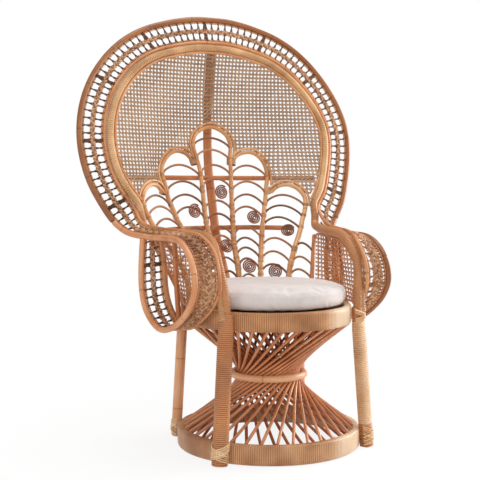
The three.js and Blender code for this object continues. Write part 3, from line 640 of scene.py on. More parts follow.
@dataclass(frozen=True)
class CottonCover(Finish):
    """Plain woven cotton, washed: fine over-and-under threads, soft slubs, a faint sheen at the edges."""

    base: str
    shade: str
    thread: float = 0.0016

    def surface(self, tree: NodeTree) -> dict[str, Any]:
        """Builds the finish on object coordinates; threads are drawn 1.6 mm wide so that they show.

        Args:
            tree: The material's tree.

        Returns:
            The shader's inputs.
        """
        place = add(tree, "ShaderNodeTexCoord", out="Object")
        weave = 0.5 / self.thread / 3.1
        warp, weft = (
            add(tree, "ShaderNodeTexWave", {"Vector": place, "Scale": weave, "Distortion": 0.6, "Detail": 1.0},
                "Fac", bands_direction=axis, wave_profile="SIN") for axis in ("X", "Y"))
        cloth = add(tree, "ShaderNodeMath", {0: warp, 1: weft}, operation="MULTIPLY")
        slub = add(tree, "ShaderNodeTexNoise", {"Vector": place, "Scale": 24.0, "Detail": 4.0}, "Fac")
        tone = add(tree, "ShaderNodeMath", {0: cloth, 1: 0.25, 2: slub}, operation="MULTIPLY_ADD")
        colour = add(tree, "ShaderNodeValToRGB", {"Fac": tone}, "Color", [(0.3, self.shade), (0.75, self.base)])
        height = add(tree, "ShaderNodeMath", {0: slub, 1: 0.6, 2: cloth}, operation="MULTIPLY_ADD")
        bump = add(tree, "ShaderNodeBump", {"Height": height, "Strength": 0.25, "Distance": 0.0005})
        return {"Base Color": colour, "Roughness": 0.92, "Normal": bump, "IOR": 1.45, "Sheen Weight": 0.25,
                "Sheen Roughness": 0.5}


POLE = RattanPole("peeled_rattan_pole", "#DAA172", "#BF7C4A", "#8C4A24")
POLE_PALE = RattanPole("peeled_rattan_pole_pale", "#EFBE94", "#D99A6A", "#A8643A")
# The outer pole's tones: the lighter copy on the left arm is painted light, the darker, redder copy on the rim and
# right arm is painted shade
POLE_LIT_ARM = RattanPole("peeled_rattan_pole_arm", "#E2A678", "#CA8454", "#94522C")
FEATHER = RattanPole("bent_rattan_feather", "#E8B884", "#C68850", "#8E5428", 0.4, gloss=0.35, polish=0.2)
RIM_SHADED = RattanPole("bent_rattan_rim", "#A86C3A", "#884E24", "#5A2E10")
BRACE = RattanPole("stained_rattan_brace", "#D68C54", "#BE7240", "#8E4A24", 0.48, 0.21)
SPOKE_FRONT = RattanPole("rattan_spoke_outer", "#EBAE7C", "#CC8250", "#925028", 0.42, gloss=0.35, polish=0.2)
SPOKE_BACK = RattanPole("rattan_spoke_inner", "#C4723F", "#A45A2D", "#6C3214", 0.5, gloss=0.05)
WOUND = WoundPeel("wound_rattan_peel", "#EED0A6", "#D8AC7A", "#9A6834")
WOUND_PALE = WoundPeel("wound_rattan_peel_pale", "#FFE6C2", "#F0BE8C", "#985E32", 0.8, 0.45, 0.75)
# Its last value is painted light and sheen on the chair's right
WOUND_BASE = WoundPeel("wound_rattan_peel_base", "#FFEACA", "#F0BE8C", "#985E32", 0.8, 0.45, 0.75, 0.6)
WOUND_FINE = WoundPeel("wound_rattan_peel_fine", "#D49A68", "#C48654", "#A66C3C", 0.3)
# Its last value is painted light and sheen on the chair's right
WOUND_RING = WoundPeel("wound_rattan_peel_ring", "#FFE8C6", "#E6A96E", "#88502A", 0.8, 0.45, 0.75, 0.64)
# Lit and shaded copies of one wound peel for the front legs: painted light on the right leg, painted shade on the
# left; the right leg's collars take the shaded copy too
LEG_LIT = WoundPeel("wound_rattan_peel_right_leg", "#F8DEBE", "#ECC69C", "#CFA072", 0.35)
LEG_SHADED = WoundPeel("wound_rattan_peel_left_leg", "#E0A472", "#CA8854", "#A26238", 0.3)
WOUND_LASH = ThinCane("lashing_peel", "#FFE4C2", "#E6BC8C", "#A06C42")
CORE = ThinCane("rattan_core_dark", "#94603A", "#724428", "#4A2917")
ARCH_CANE = ThinCane("rattan_core_arch", "#B97E4E", "#966039", "#66391C")
SCROLL_CANE = ThinCane("rattan_core_scroll", "#AE6538", "#8A4A26", "#5A2C12")
BRAID_CANE = ThinCane("braided_rattan_core", "#E8BE98", "#C68E60", "#7E4A28")
PLAIT_CANE = ThinCane("plaited_rattan_core", "#DDB28C", "#AA7850", "#5A361E")
WEAVE_CANE = ThinCane("woven_rattan_core", "#FFE4C2", "#E4B080", "#8A5430")
WEB_CANE = ThinCane("split_cane_web", "#C8A988", "#AF8966", "#876243")
PANEL_CANE = ThinCane("split_cane_panel", "#E2AE80", "#CC8C5C", "#9C623A")
COTTON = CottonCover("washed_cotton_cover", "#DAD2CF", "#CEC5C2")


# Meshes

# Rounded end of a pole: how far in each loop lies and how wide it is, as shares of the radius
ROUNDED = ((0.0, 0.62), (0.16, 0.88), (0.5, 1.0))
# Grain across a turn of peel: its edge, the two shoulders of its flat, and its other edge
PEEL_MARKS = (0.0, 0.2, 0.8, 1.0)
# Turns of peel are drawn a little wider than their pitch, so that no gap shows
OVERLAP = 1.02


def transported(path: Path, start: Vector | None = None) -> list[tuple[Vector, Vector, Vector]]:
    """Carries a section along a path without twist.

    Args:
        path: The points of the path.
        start: A wished direction for the first normal.

    Returns:
        Tangent, normal and side at each point.
    """
    normal = Vector(start) if start else Vector((0.3, 0.9, -0.2))
    frames = []
    for i in range(len(path)):
        tangent = (path[min(i + 1, len(path) - 1)] - path[max(i - 1, 0)]).normalized()
        normal = normal - tangent * normal.dot(tangent)
        if normal.length < 1e-6:
            normal = tangent.orthogonal()
        normal = normal.normalized()
        frames.append((tangent, normal, tangent.cross(normal)))
    return frames


@dataclass
class Draft:
    """Points, faces, grain coordinates and strand numbers of one piece while it is made."""

    points: list[Vector] = field(default_factory=list)
    faces: list[tuple[int, ...]] = field(default_factory=list)
    grain: list[Row] = field(default_factory=list)
    strands: list[float] = field(default_factory=list)

    def face(self, corners: Sequence[int], grain: Sequence[Row]) -> None:
        """Adds a face with its grain coordinates."""
        self.faces.append(tuple(corners))
        self.grain.extend(grain)

    def ring(self, points: Path, strand: float = 0.0) -> list[int]:
        """Adds a loop of points.

        Args:
            points: The points.
            strand: Their strand's own number from 0 to 1.

        Returns:
            The points' numbers.
        """
        first = len(self.points)
        self.points.extend(points)
        self.strands.extend([strand] * len(points))
        return list(range(first, first + len(points)))

    def belt(self, rows: Sequence[Sequence[int]], length: float, flip: bool = False) -> None:
        """Joins the rows of a turn of peel, its back too, into a closed belt.

        Args:
            rows: Point numbers of each row along the turn.
            length: Grain along the whole turn, in metres.
            flip: Whether the faces turn the other way round.
        """
        sides = len(rows[0])
        for a, low in enumerate(rows):
            b = (a + 1) % len(rows)
            high = rows[b]
            v0, v1 = (PEEL_MARKS[a], PEEL_MARKS[b]) if b else (0.0, 0.0)
            for j in range(sides):
                ends = ((j, length * j / sides), ((j + 1) % sides, length * (j + 1) / sides))
                (p, u0), (q, u1) = ends[::-1] if flip else ends
                self.face((low[p], high[p], high[q], low[q]), ((u0, v0), (u0, v1), (u1, v1), (u1, v0)))

    def tube(
        self, path: Path, radius: float | Sequence[float], sides: int, strand: float = 0.0,
        start: Vector | None = None, squash: float = 1.0, closed: bool = False
    ) -> None:
        """Adds a pole with rounded ends, or a closed hoop.

        Args:
            path: Points along its middle.
            radius: Its radius, or that at each point.
            sides: Points round its section.
            strand: Its own number from 0 to 1.
            start: A wished direction of the section's first normal.
            squash: Thickness along that normal as a share of the width.
            closed: Whether the last point joins the first.
        """
        if closed:
            frames = transported([*path, *path[:2]], start)[1:len(path) + 1]
            path = [*path[1:], path[0]]
        else:
            frames = transported(path, start)
        radii = [radius] * len(path) if isinstance(radius, float) else radius
        stations = list(zip(path, frames, radii))
        if not closed:
            (p, f, r), (q, g, s) = stations[0], stations[-1]
            head = [(p + f[0] * r * inset, f, r * share) for inset, share in ROUNDED]
            tail = [(q - g[0] * s * inset, g, s * share) for inset, share in reversed(ROUNDED)]
            stations = [*head, *stations[1:-1], *tail]
        loops = []
        along = [0.0]
        for a, b in zip(stations, stations[1:]):
            along.append(along[-1] + (b[0] - a[0]).length)
        section = circle(sides, shift=0.5)
        for spot, (_, normal, side), r in stations:
            loops.append(self.ring([spot + normal * (r * squash * c) + side * (r * s) for c, s in section], strand))
        last = len(loops) if closed else len(loops) - 1
        girth = TURN * radii[round((len(radii) - 1) / 2)] / sides
        for i in range(last):
            low, high = loops[i], loops[(i + 1) % len(loops)]
            u0 = along[i]
            u1 = along[i + 1] if i + 1 < len(along) else along[i] + (path[0] - path[-1]).length
            for j in range(sides):
                k = (j + 1) % sides
                v0, v1 = girth * j, girth * (j + 1)
                self.face((low[j], low[k], high[k], high[j]), ((u0, v0), (u0, v1), (u1, v1), (u1, v0)))
        if not closed:
            for corners, u in ((loops[0][::-1], along[0]), (loops[-1], along[-1])):
                self.face(corners, [(u, girth * j) for j in range(sides)])

    def build(self, name: str, finish: Finish | None = None) -> Object:
        """Makes the object.

        Args:
            name: The object's name.
            finish: Its finish, or None.

        Returns:
            The object, linked to the scene.
        """
        mesh = bpy.data.meshes.new(name)
        mesh.from_pydata([tuple(p) for p in self.points], [], self.faces)
        layer = mesh.uv_layers.new(name="Grain")
        layer.data.foreach_set("uv", [value for pair in self.grain for value in pair])
        tone = mesh.attributes.new("strand", "FLOAT", "POINT")
        tone.data.foreach_set("value", self.strands)
        mesh.polygons.foreach_set("use_smooth", [True] * len(mesh.polygons))
        mesh.update()
        return linked(name, mesh, finish)


def linked(name: str, mesh: Mesh, finish: Finish | None = None) -> Object:
    """Puts a mesh into the scene as an object at the origin.

    Args:
        name: The object's name.
        mesh: Its mesh.
        finish: Its finish, or None to keep what it has.

    Returns:
        The object.
    """
    mesh.name = name
    piece = bpy.data.objects.new(name, mesh)
    bpy.context.scene.collection.objects.link(piece)
    if finish is not None:
        mesh.materials.clear()
        mesh.materials.append(finish.material())
    return piece


def settle(piece: Object, slot: Slot, *nodes: str, body: Body = Body.CHAIR) -> None:
    """Rides a piece on its body and hides the CAD nodes that it stands for.

    Args:
        piece: The finished piece.
        slot: Its material slot; not used.
        nodes: CAD nodes that it replaces.
        body: Its body.
    """
    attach(piece, body.value)
    if nodes:
        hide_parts(*nodes)
    LOG.info("%s: %d faces, stands for %s", piece.name, len(piece.data.polygons), ", ".join(nodes) or "trim")


def pole(
    name: str, path: Path, radius: float | Sequence[float], section: tuple[int, float],
    finish: Finish, slot: Slot, *nodes: str, **shape: Any
) -> None:
    """Makes one pole as a piece of its own.

    Args:
        name: The piece's name.
        path: Points along its middle.
        radius: Its radius, or that at each point.
        section: Points round its section, and its strand's own number.
        finish: Its finish.
        slot: Its material slot.
        nodes: CAD nodes that it replaces.
        shape: Further arguments of the tube.
    """
    draft = Draft()
    draft.tube(path, radius, *section, **shape)
    settle(draft.build(name, finish), slot, *nodes)


# Geometry Nodes trees


@dataclass(frozen=True)
class Place:
    """Where one repeat goes: its spot, the way it points, the way it faces and its size along each."""

    spot: Vector
    aim: Vector
    lift: Vector
    size: tuple[float, float, float] = (1.0, 1.0, 1.0)


def new_tree(name: str, **sockets: str) -> tuple[NodeTree, bpy.types.bpy_prop_collection]:
    """Starts a Geometry Nodes tree.

    Args:
        name: The tree's name.
        sockets: Kind of each further input by its name; a material comes last.

    Returns:
        The tree and its inputs.
    """
    tree = bpy.data.node_groups.new(name, "GeometryNodeTree")
    tree.interface.new_socket("Geometry", in_out="OUTPUT", socket_type="NodeSocketGeometry")
    for label, kind in {"Geometry": "Geometry", **sockets, "Material": "Material"}.items():
        tree.interface.new_socket(label, in_out="INPUT", socket_type=f"NodeSocket{kind}")
    return tree, add(tree, "NodeGroupInput").node.outputs


def close_tree(tree: NodeTree, given: bpy.types.bpy_prop_collection, geometry: NodeSocket) -> NodeTree:
    """Ends a tree in Realize Instances and Set Material.

    Args:
        tree: The tree.
        given: Its inputs.
        geometry: What has been made so far.

    Returns:
        The tree.
    """
    real = add(tree, "GeometryNodeRealizeInstances", {"Geometry": geometry})
    even = add(tree, "GeometryNodeSetShadeSmooth", {0: real, "Shade Smooth": True})
    done = add(tree, "GeometryNodeSetMaterial", {"Geometry": even, "Material": given["Material"]})
    add(tree, "NodeGroupOutput", {0: done})
    return tree


def numbered(
    tree: NodeTree, given: bpy.types.bpy_prop_collection, geometry: NodeSocket, domain: str
) -> NodeSocket:
    """Gives each repeat or strand its own number from 0 to 1.

    Args:
        tree: The tree.
        given: Its inputs, with the Seed.
        geometry: The repeats or strands.
        domain: Where the number is kept.

    Returns:
        The numbered geometry.
    """
    chance = add(tree, "FunctionNodeRandomValue", {"Seed": given["Seed"]}, 1, data_type="FLOAT")
    return add(tree, "GeometryNodeStoreNamedAttribute", {"Geometry": geometry, "Name": "strand", "Value": chance},
               data_type="FLOAT", domain=domain)


def repeat_tree() -> NodeTree:
    """Makes the tree that sets a shape at each point, turned and sized by the point's own vectors.

    Returns:
        The tree.
    """
    tree, given = new_tree("repeat_shape", Shape="Object", Seed="Int")
    aim, lift, size = (
        add(tree, "GeometryNodeInputNamedAttribute", {"Name": key}, data_type="FLOAT_VECTOR")
        for key in ("aim", "lift", "size"))
    shape = add(tree, "GeometryNodeObjectInfo", {"Object": given["Shape"]}, "Geometry")
    turn = add(tree, "FunctionNodeAxesToRotation", {0: aim, 1: lift}, primary_axis="X", secondary_axis="Z")
    copies = add(tree, "GeometryNodeInstanceOnPoints", {
        "Points": given["Geometry"], "Instance": shape, "Rotation": turn, "Scale": size})
    return close_tree(tree, given, numbered(tree, given, copies, "INSTANCE"))


def strand_tree() -> NodeTree:
    """Makes the tree that turns polylines into thin canes of one radius.

    Returns:
        The tree.
    """
    tree, given = new_tree("thin_canes", Radius="Float", Sides="Int", Seed="Int")
    lines = add(tree, "GeometryNodeMeshToCurve", {0: given["Geometry"]})
    toned = numbered(tree, given, lines, "CURVE")
    section = add(tree, "GeometryNodeCurvePrimitiveCircle", {
        "Resolution": given["Sides"], "Radius": given["Radius"]})
    canes = add(tree, "GeometryNodeCurveToMesh", {"Curve": toned, "Profile Curve": section, "Fill Caps": True})
    return close_tree(tree, given, canes)


@dataclass
class Grower:
    """Runs the Geometry Nodes trees and keeps only plain meshes."""

    repeats: NodeTree = field(default_factory=repeat_tree)
    strands: NodeTree = field(default_factory=strand_tree)

    def _grow(self, name: str, seed_mesh: Mesh, tree: NodeTree, values: dict[str, Any]) -> Object:
        """Evaluates a tree on a mesh.

        Args:
            name: The finished piece's name.
            seed_mesh: Points or polylines.
            tree: The tree to run.
            values: Its inputs by name.

        Returns:
            A plain mesh object.
        """
        base = linked(f"{name}_seed", seed_mesh)
        modifier = base.modifiers.new("Grow", "NODES")
        modifier.node_group = tree
        for item in tree.interface.items_tree:
            if item.in_out == "INPUT" and item.name in values:
                modifier[item.identifier] = values[item.name]
        view = bpy.context.evaluated_depsgraph_get()
        mesh = bpy.data.meshes.new_from_object(base.evaluated_get(view), depsgraph=view)
        base.modifiers.remove(modifier)
        bpy.data.objects.remove(base)
        return linked(name, mesh)

    def repeat(
        self, name: str, make: Callable[[], Object], places: Sequence[Place], finish: Finish, seed: int,
        slot: Slot, *nodes: str
    ) -> None:
        """Repeats a shape as one piece.

        Args:
            name: The piece's name.
            make: Makes the shape to repeat, which is removed afterwards.
            places: Where the repeats go.
            finish: The finish of all of them.
            seed: Seed of the tone of each.
            slot: The piece's material slot.
            nodes: CAD nodes that it replaces.
        """
        shape = make()
        mesh = bpy.data.meshes.new(name)
        mesh.from_pydata([tuple(p.spot) for p in places], [], [])
        for key in ("aim", "lift", "size"):
            layer = mesh.attributes.new(key, "FLOAT_VECTOR", "POINT")
            layer.data.foreach_set("vector", [value for p in places for value in getattr(p, key)])
        values = {"Shape": shape, "Seed": seed, "Material": finish.material()}
        piece = self._grow(name, mesh, self.repeats, values)
        bpy.data.objects.remove(shape)
        settle(piece, slot, *nodes)

    def canes(
        self, name: str, lines: Sequence[Path], section: tuple[float, int], finish: Finish,
        seed: int, slot: Slot, *nodes: str
    ) -> None:
        """Makes thin canes along polylines as one piece.

        Args:
            name: The piece's name.
            lines: The polylines.
            section: Radius of every cane, and points round it.
            finish: Their finish.
            seed: Seed of the tone of each cane.
            slot: The piece's material slot.
            nodes: CAD nodes that it replaces.
        """
        points: list[Spot] = []
        edges: list[tuple[int, int]] = []
        for line in lines:
            first = len(points)
            points.extend(tuple(p) for p in line)
            edges.extend((first + i, first + i + 1) for i in range(len(line) - 1))
        mesh = bpy.data.meshes.new(name)
        mesh.from_pydata(points, edges, [])
        values = {"Radius": section[0], "Sides": section[1], "Seed": seed, "Material": finish.material()}
        settle(self._grow(name, mesh, self.strands, values), slot, *nodes)


def turn_shape(sides: int, edge: float = 2.0, sunk: float = 0.9) -> Object:
    """One turn of wound peel: a flat hoop of radius 1 about X, 1 wide, with lowered edges.

    Args:
        sides: Points round the hoop.
        edge: 2 for a round hoop, less for a squarish one with a corner along Z.
        sunk: Radius at the turn's edges as a share of that at its middle.

    Returns:
        The shape.
    """
    draft = Draft()
    section = []
    for c, s in circle(sides):
        grow = (abs(c) ** edge + abs(s) ** edge) ** (-1 / edge)
        section.append((c * grow, s * grow))
    rows = []
    for x, r in ((-0.5, sunk), (-0.34, 1.0), (0.34, 1.0), (0.5, sunk)):
        rows.append(draft.ring([Vector((x, r * c, r * s)) for c, s in section]))
    draft.belt(rows, 0.1, flip=True)
    return draft.build("turn_shape")


def rung_shape(radius: float) -> Object:
    """One short cane along X, 1 long.

    Args:
        radius: Its radius in metres.

    Returns:
        The shape.
    """
    sides = 6
    draft = Draft()
    near, far = (draft.ring([Vector((x, c, s)) for c, s in circle(sides, radius)]) for x in (-0.5, 0.5))
    for j in range(sides):
        k = (j + 1) % sides
        draft.face((near[j], far[j], far[k], near[k]), ((0, 0), (1, 0), (1, 1), (0, 1)))
    draft.face(near, [(0, 0)] * sides)
    draft.face(far[::-1], [(1, 0)] * sides)
    return draft.build("rung_shape")


def winding(path: Path, radii: Sequence[float], pitch: float) -> list[Place]:
    """Places turns of peel along a path.

    Args:
        path: Points one pitch apart.
        radii: Radius of the turn at each point.
        pitch: Width of a turn.

    Returns:
        One place for each turn.
    """
    rows = zip(path, transported(path), radii)
    return [Place(spot, aim, lift, (pitch * OVERLAP, girth, girth)) for spot, (aim, lift, _), girth in rows]


def about_axis(count: int, shift: float = 0.0) -> list[Place]:
    """Returns places evenly about the stand's axis, turned on by a share of a step."""
    centre = Vector((0, AXIS_Y, 0))
    return [Place(centre, Vector((c, s, 0)), UP) for c, s in circle(count, shift=shift)]


# Sub-assemblies


@dataclass
class Hourglass:
    """The stand: a wound base ring, crossed spokes bound at the waist, a wound seat ring, and four legs.

    In mm, rings have an outer radius, a wall, a bottom and a top; the waist's hoop a radius, a pole's radius and a
    height; spokes a radius at the waist, the seat and the base, then the heights of their ends; and the narrow heads a
    radius and its loss. Swell and edge are the left and the right front leg's, and collars are shares of its length.
    """

    grower: Grower
    base: tuple[float, ...] = (300, 26, 0, 63)
    seat: tuple[float, ...] = (274, 26, 399, 459)
    waist: tuple[float, float, float] = (117.5, 11.5, 229)
    outer: tuple[float, ...] = (99, 267, 280, 402, 60)
    inner: tuple[float, ...] = (86, 238, 263, 428, 40)
    spokes: int = 36
    spoke: float = 0.005
    twist: float = 62.0
    offset: float = 0.6
    strip: float = 6.8
    ring_points: int = 24
    ring_grain: float = 0.16
    ring_round: Row = (0.5, 0.36)
    ring_sunk: float = 0.9
    leg_strip: float = 0.0062
    swell: Row = (1.41, 1.22)
    edge: Row = (1.7, 1.25)
    collars: Row = (0.16, 0.89)
    neck: float = 0.84
    neck_loss: float = 0.22
    leg_corner: Row = (-0.44, -0.9)
    leg_core: float = 0.9
    head: Row = (12.5, 9.0)
    head_turns: int = 20
    lash: float = 0.0023
    lash_off: float = 0.0012
    lash_wrap: float = 215.0

    def ring(self, name: str, sizes: tuple[float, ...], finish: Finish) -> None:
        """Winds a ring: one flat turn of peel round its section, repeated about the axis.

        Args:
            name: The CAD node that it stands for.
            sizes: Its sizes in mm.
            finish: Its finish.
        """
        radius, wall, low, high = sizes
        count = round(TURN * radius / self.strip)
        middle = Vector((radius - wall / 2, 0, (low + high) / 2)) * MM
        half = Vector((wall / 2, 0, (high - low) / 2)) * MM
        wide, tall = self.ring_round
        section = []
        for c, s in circle(self.ring_points, shift=0.5):
            section.append((math.copysign(abs(c) ** wide, c) * half.x, math.copysign(abs(s) ** tall, s) * half.z))
        draft = Draft()
        width = math.pi / count * 1.01
        rows = []
        for share, sink in ((-1.0, self.ring_sunk), (-0.6, 0.0), (0.6, 0.0), (1.0, self.ring_sunk)):
            loop = []
            for x, z in section:
                shrink = 1 - sink * MM / math.hypot(x, z)
                r = middle.x + x * shrink
                loop.append(Vector((r, r * math.tan(width * share), middle.z + z * shrink)))
            rows.append(draft.ring(loop))
        draft.belt(rows, self.ring_grain)
        piece = f"{name}_winding"
        make = partial(draft.build, "ring_turn")
        self.grower.repeat(piece, make, about_axis(count), finish, len(piece), Slot.WRAP, name)

    def spoke_family(self, name: str, sizes: tuple[float, ...], lean: int, finish: Finish, slot: Slot) -> None:
        """Sets one family of straight canes about the axis.

        Args:
            name: The piece's name, with which its CAD nodes' names begin.
            sizes: Their sizes in mm.
            lean: 1 or -1, the way that the canes lean.
            finish: Their finish.
            slot: Their material slot.
        """
        waist, top, foot, high, low = sizes
        turn = math.radians(self.twist) * lean
        spots = [
            Vector((foot * math.cos(-turn), foot * math.sin(-turn), low)),
            Vector((waist, 0, self.waist[2])),
            Vector((top * math.cos(turn), top * math.sin(turn), high)),
        ]
        draft = Draft()
        draft.tube(SmoothCurve([s * MM for s in spots]).run(0.03), self.spoke, 8)
        places = about_axis(self.spokes, 0.0 if lean > 0 else self.offset)
        nodes = [f"{name}_{side}" for side in ("front", "right", "back", "left")]
        self.grower.repeat(name, partial(draft.build, "spoke_shape"), places, finish, 11 + lean, slot, *nodes)

    def hoop(self) -> None:
        """Bends the pole round the waist."""
        radius, thick, height = self.waist
        path = [at((x, y, height)) for x, y in circle(72, radius)]
        pole("waist_hoop", path, thick * MM, (14, 0.7), POLE_PALE, Slot.POLE, "waist_ring", start=UP, closed=True)

    def leg_axis(self, name: str) -> tuple[Vector, Vector, float]:
        """Gives a leg's foot, top and radius.

        Args:
            name: The CAD node.

        Returns:
            Foot, top and radius.
        """
        sign = -1 if name.endswith("left") else 1
        foot, head, height, radius = FRONT_LEG if name.startswith("front") else REAR_LEG
        ends = []
        for (r, a), z in ((foot, 0), (head, height)):
            ends.append(at((sign * r * math.sin(math.radians(a)), -r * math.cos(math.radians(a)), z)))
        return ends[0], ends[1], radius * MM

    def front_leg(self, side: Side) -> None:
        """Winds a front leg on its core, drawn in at the top, and a narrow head behind the arm's frame.

        Args:
            side: Which leg.
        """
        right = side is Side.RIGHT
        name = f"front_leg_{side.label}"
        foot, head, radius = self.leg_axis(name)
        length = (head - foot).length
        count = round(length / self.leg_strip)
        aim = (head - foot).normalized()
        corner = Vector((self.leg_corner[0] * side.value, self.leg_corner[1], 0))
        places = []
        for i in range(count):
            f = (i + 0.5) / count
            drawn_in = self.neck_loss * max(0.0, (f - self.neck) / (1 - self.neck))
            girth = radius * self.swell[right] * (1 - drawn_in)
            places.append(Place(foot.lerp(head, f), aim, corner, (length / count * OVERLAP, girth, girth)))
        make = partial(turn_shape, 24, self.edge[right])
        # Painted light on the right leg and painted shade on the left: lit and shaded copies of one peel
        finish = LEG_LIT if right else LEG_SHADED
        first, last = (round(count * f) for f in (self.collars if right else (0.0, 1.0)))
        self.grower.repeat(f"{name}_winding", make, places[first:last], finish, 21, Slot.WRAP)
        if right:
            collars = places[:first] + places[last:]
            self.grower.repeat(f"{name}_collars", make, collars, LEG_SHADED, 23, Slot.WRAP)
        path = [foot, foot.lerp(head, 0.5), head]
        pole(f"{name}_core", path, radius * self.leg_core, (14, 0.4), POLE, Slot.WRAP, name)
        low, high = (at(spot) for spot in mirrored(LEG_HEAD, side))
        steps = [i / self.head_turns for i in range(self.head_turns + 1)]
        radii = [(self.head[0] - self.head[1] * f) * MM for f in steps]
        places = winding([low.lerp(high, f) for f in steps], radii, (high - low).length / self.head_turns)
        self.grower.repeat(f"{name}_head", partial(turn_shape, 12), places, WOUND_PALE, 22, Slot.WRAP)

    def legs(self) -> None:
        """Makes two wound front legs and two plain rear legs."""
        for side in Side:
            self.front_leg(side)
            name = f"rear_leg_{side.label}"
            foot, head, radius = self.leg_axis(name)
            path = [foot.lerp(head, i / 12) for i in range(13)]
            pole(f"{name}_pole", path, radius, (16, 0.25), POLE_PALE, Slot.WRAP, name)

    def lashings(self) -> None:
        """Binds the legs to the rings with crossed canes on their outer sides."""
        lines = []
        for leg, spans in LASHED.items():
            for low, high, count in spans:
                for hand in (1, -1):
                    lines.extend(self._lash(leg, low + 3, high - 3, hand, k / 4) for k in range(count))
        self.grower.canes("leg_lashings", lines, (self.lash, 5), WOUND_LASH, 5, Slot.WRAP)

    def _lash(self, leg: str, low: float, high: float, hand: int, phase: float) -> list[Vector]:
        """One cane of a crossed lashing, slanting over the outer side of a leg.

        Args:
            leg: The leg's CAD node.
            low: Lowest height in mm.
            high: Highest height in mm.
            hand: 1 or -1, the way that it slants.
            phase: Its place among its fellows, from 0 to 1.

        Returns:
            Its points.
        """
        foot, head, radius = self.leg_axis(leg)
        away = math.atan2(foot.y - AXIS_Y, foot.x)
        swell = self.swell[foot.x > 0] if foot.y < AXIS_Y else 1.0
        girth = radius * swell + self.lash_off
        line = []
        for i in range(13):
            f = i / 12
            z = (low + (high - low) * (phase * 0.4 + 0.6 * f)) * MM
            turn = away + hand * (f - 0.5) * math.radians(self.lash_wrap)
            centre = foot.lerp(head, z / head.z)
            line.append(Vector((centre.x + girth * math.cos(turn), centre.y + girth * math.sin(turn), z)))
        return line

    def build(self) -> None:
        """Makes the whole stand."""
        self.ring("base_ring", self.base, WOUND_BASE)
        self.ring("seat_ring", self.seat, WOUND_RING)
        self.spoke_family("spokes_outer", self.outer, 1, SPOKE_FRONT, Slot.POLE)
        self.spoke_family("spokes_inner", self.inner, -1, SPOKE_BACK, Slot.DARK)
        self.hoop()
        self.legs()
        self.lashings()
        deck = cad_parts["seat_deck"]
        deck.data.materials.clear()
        deck.data.materials.append(WEB_CANE.material())


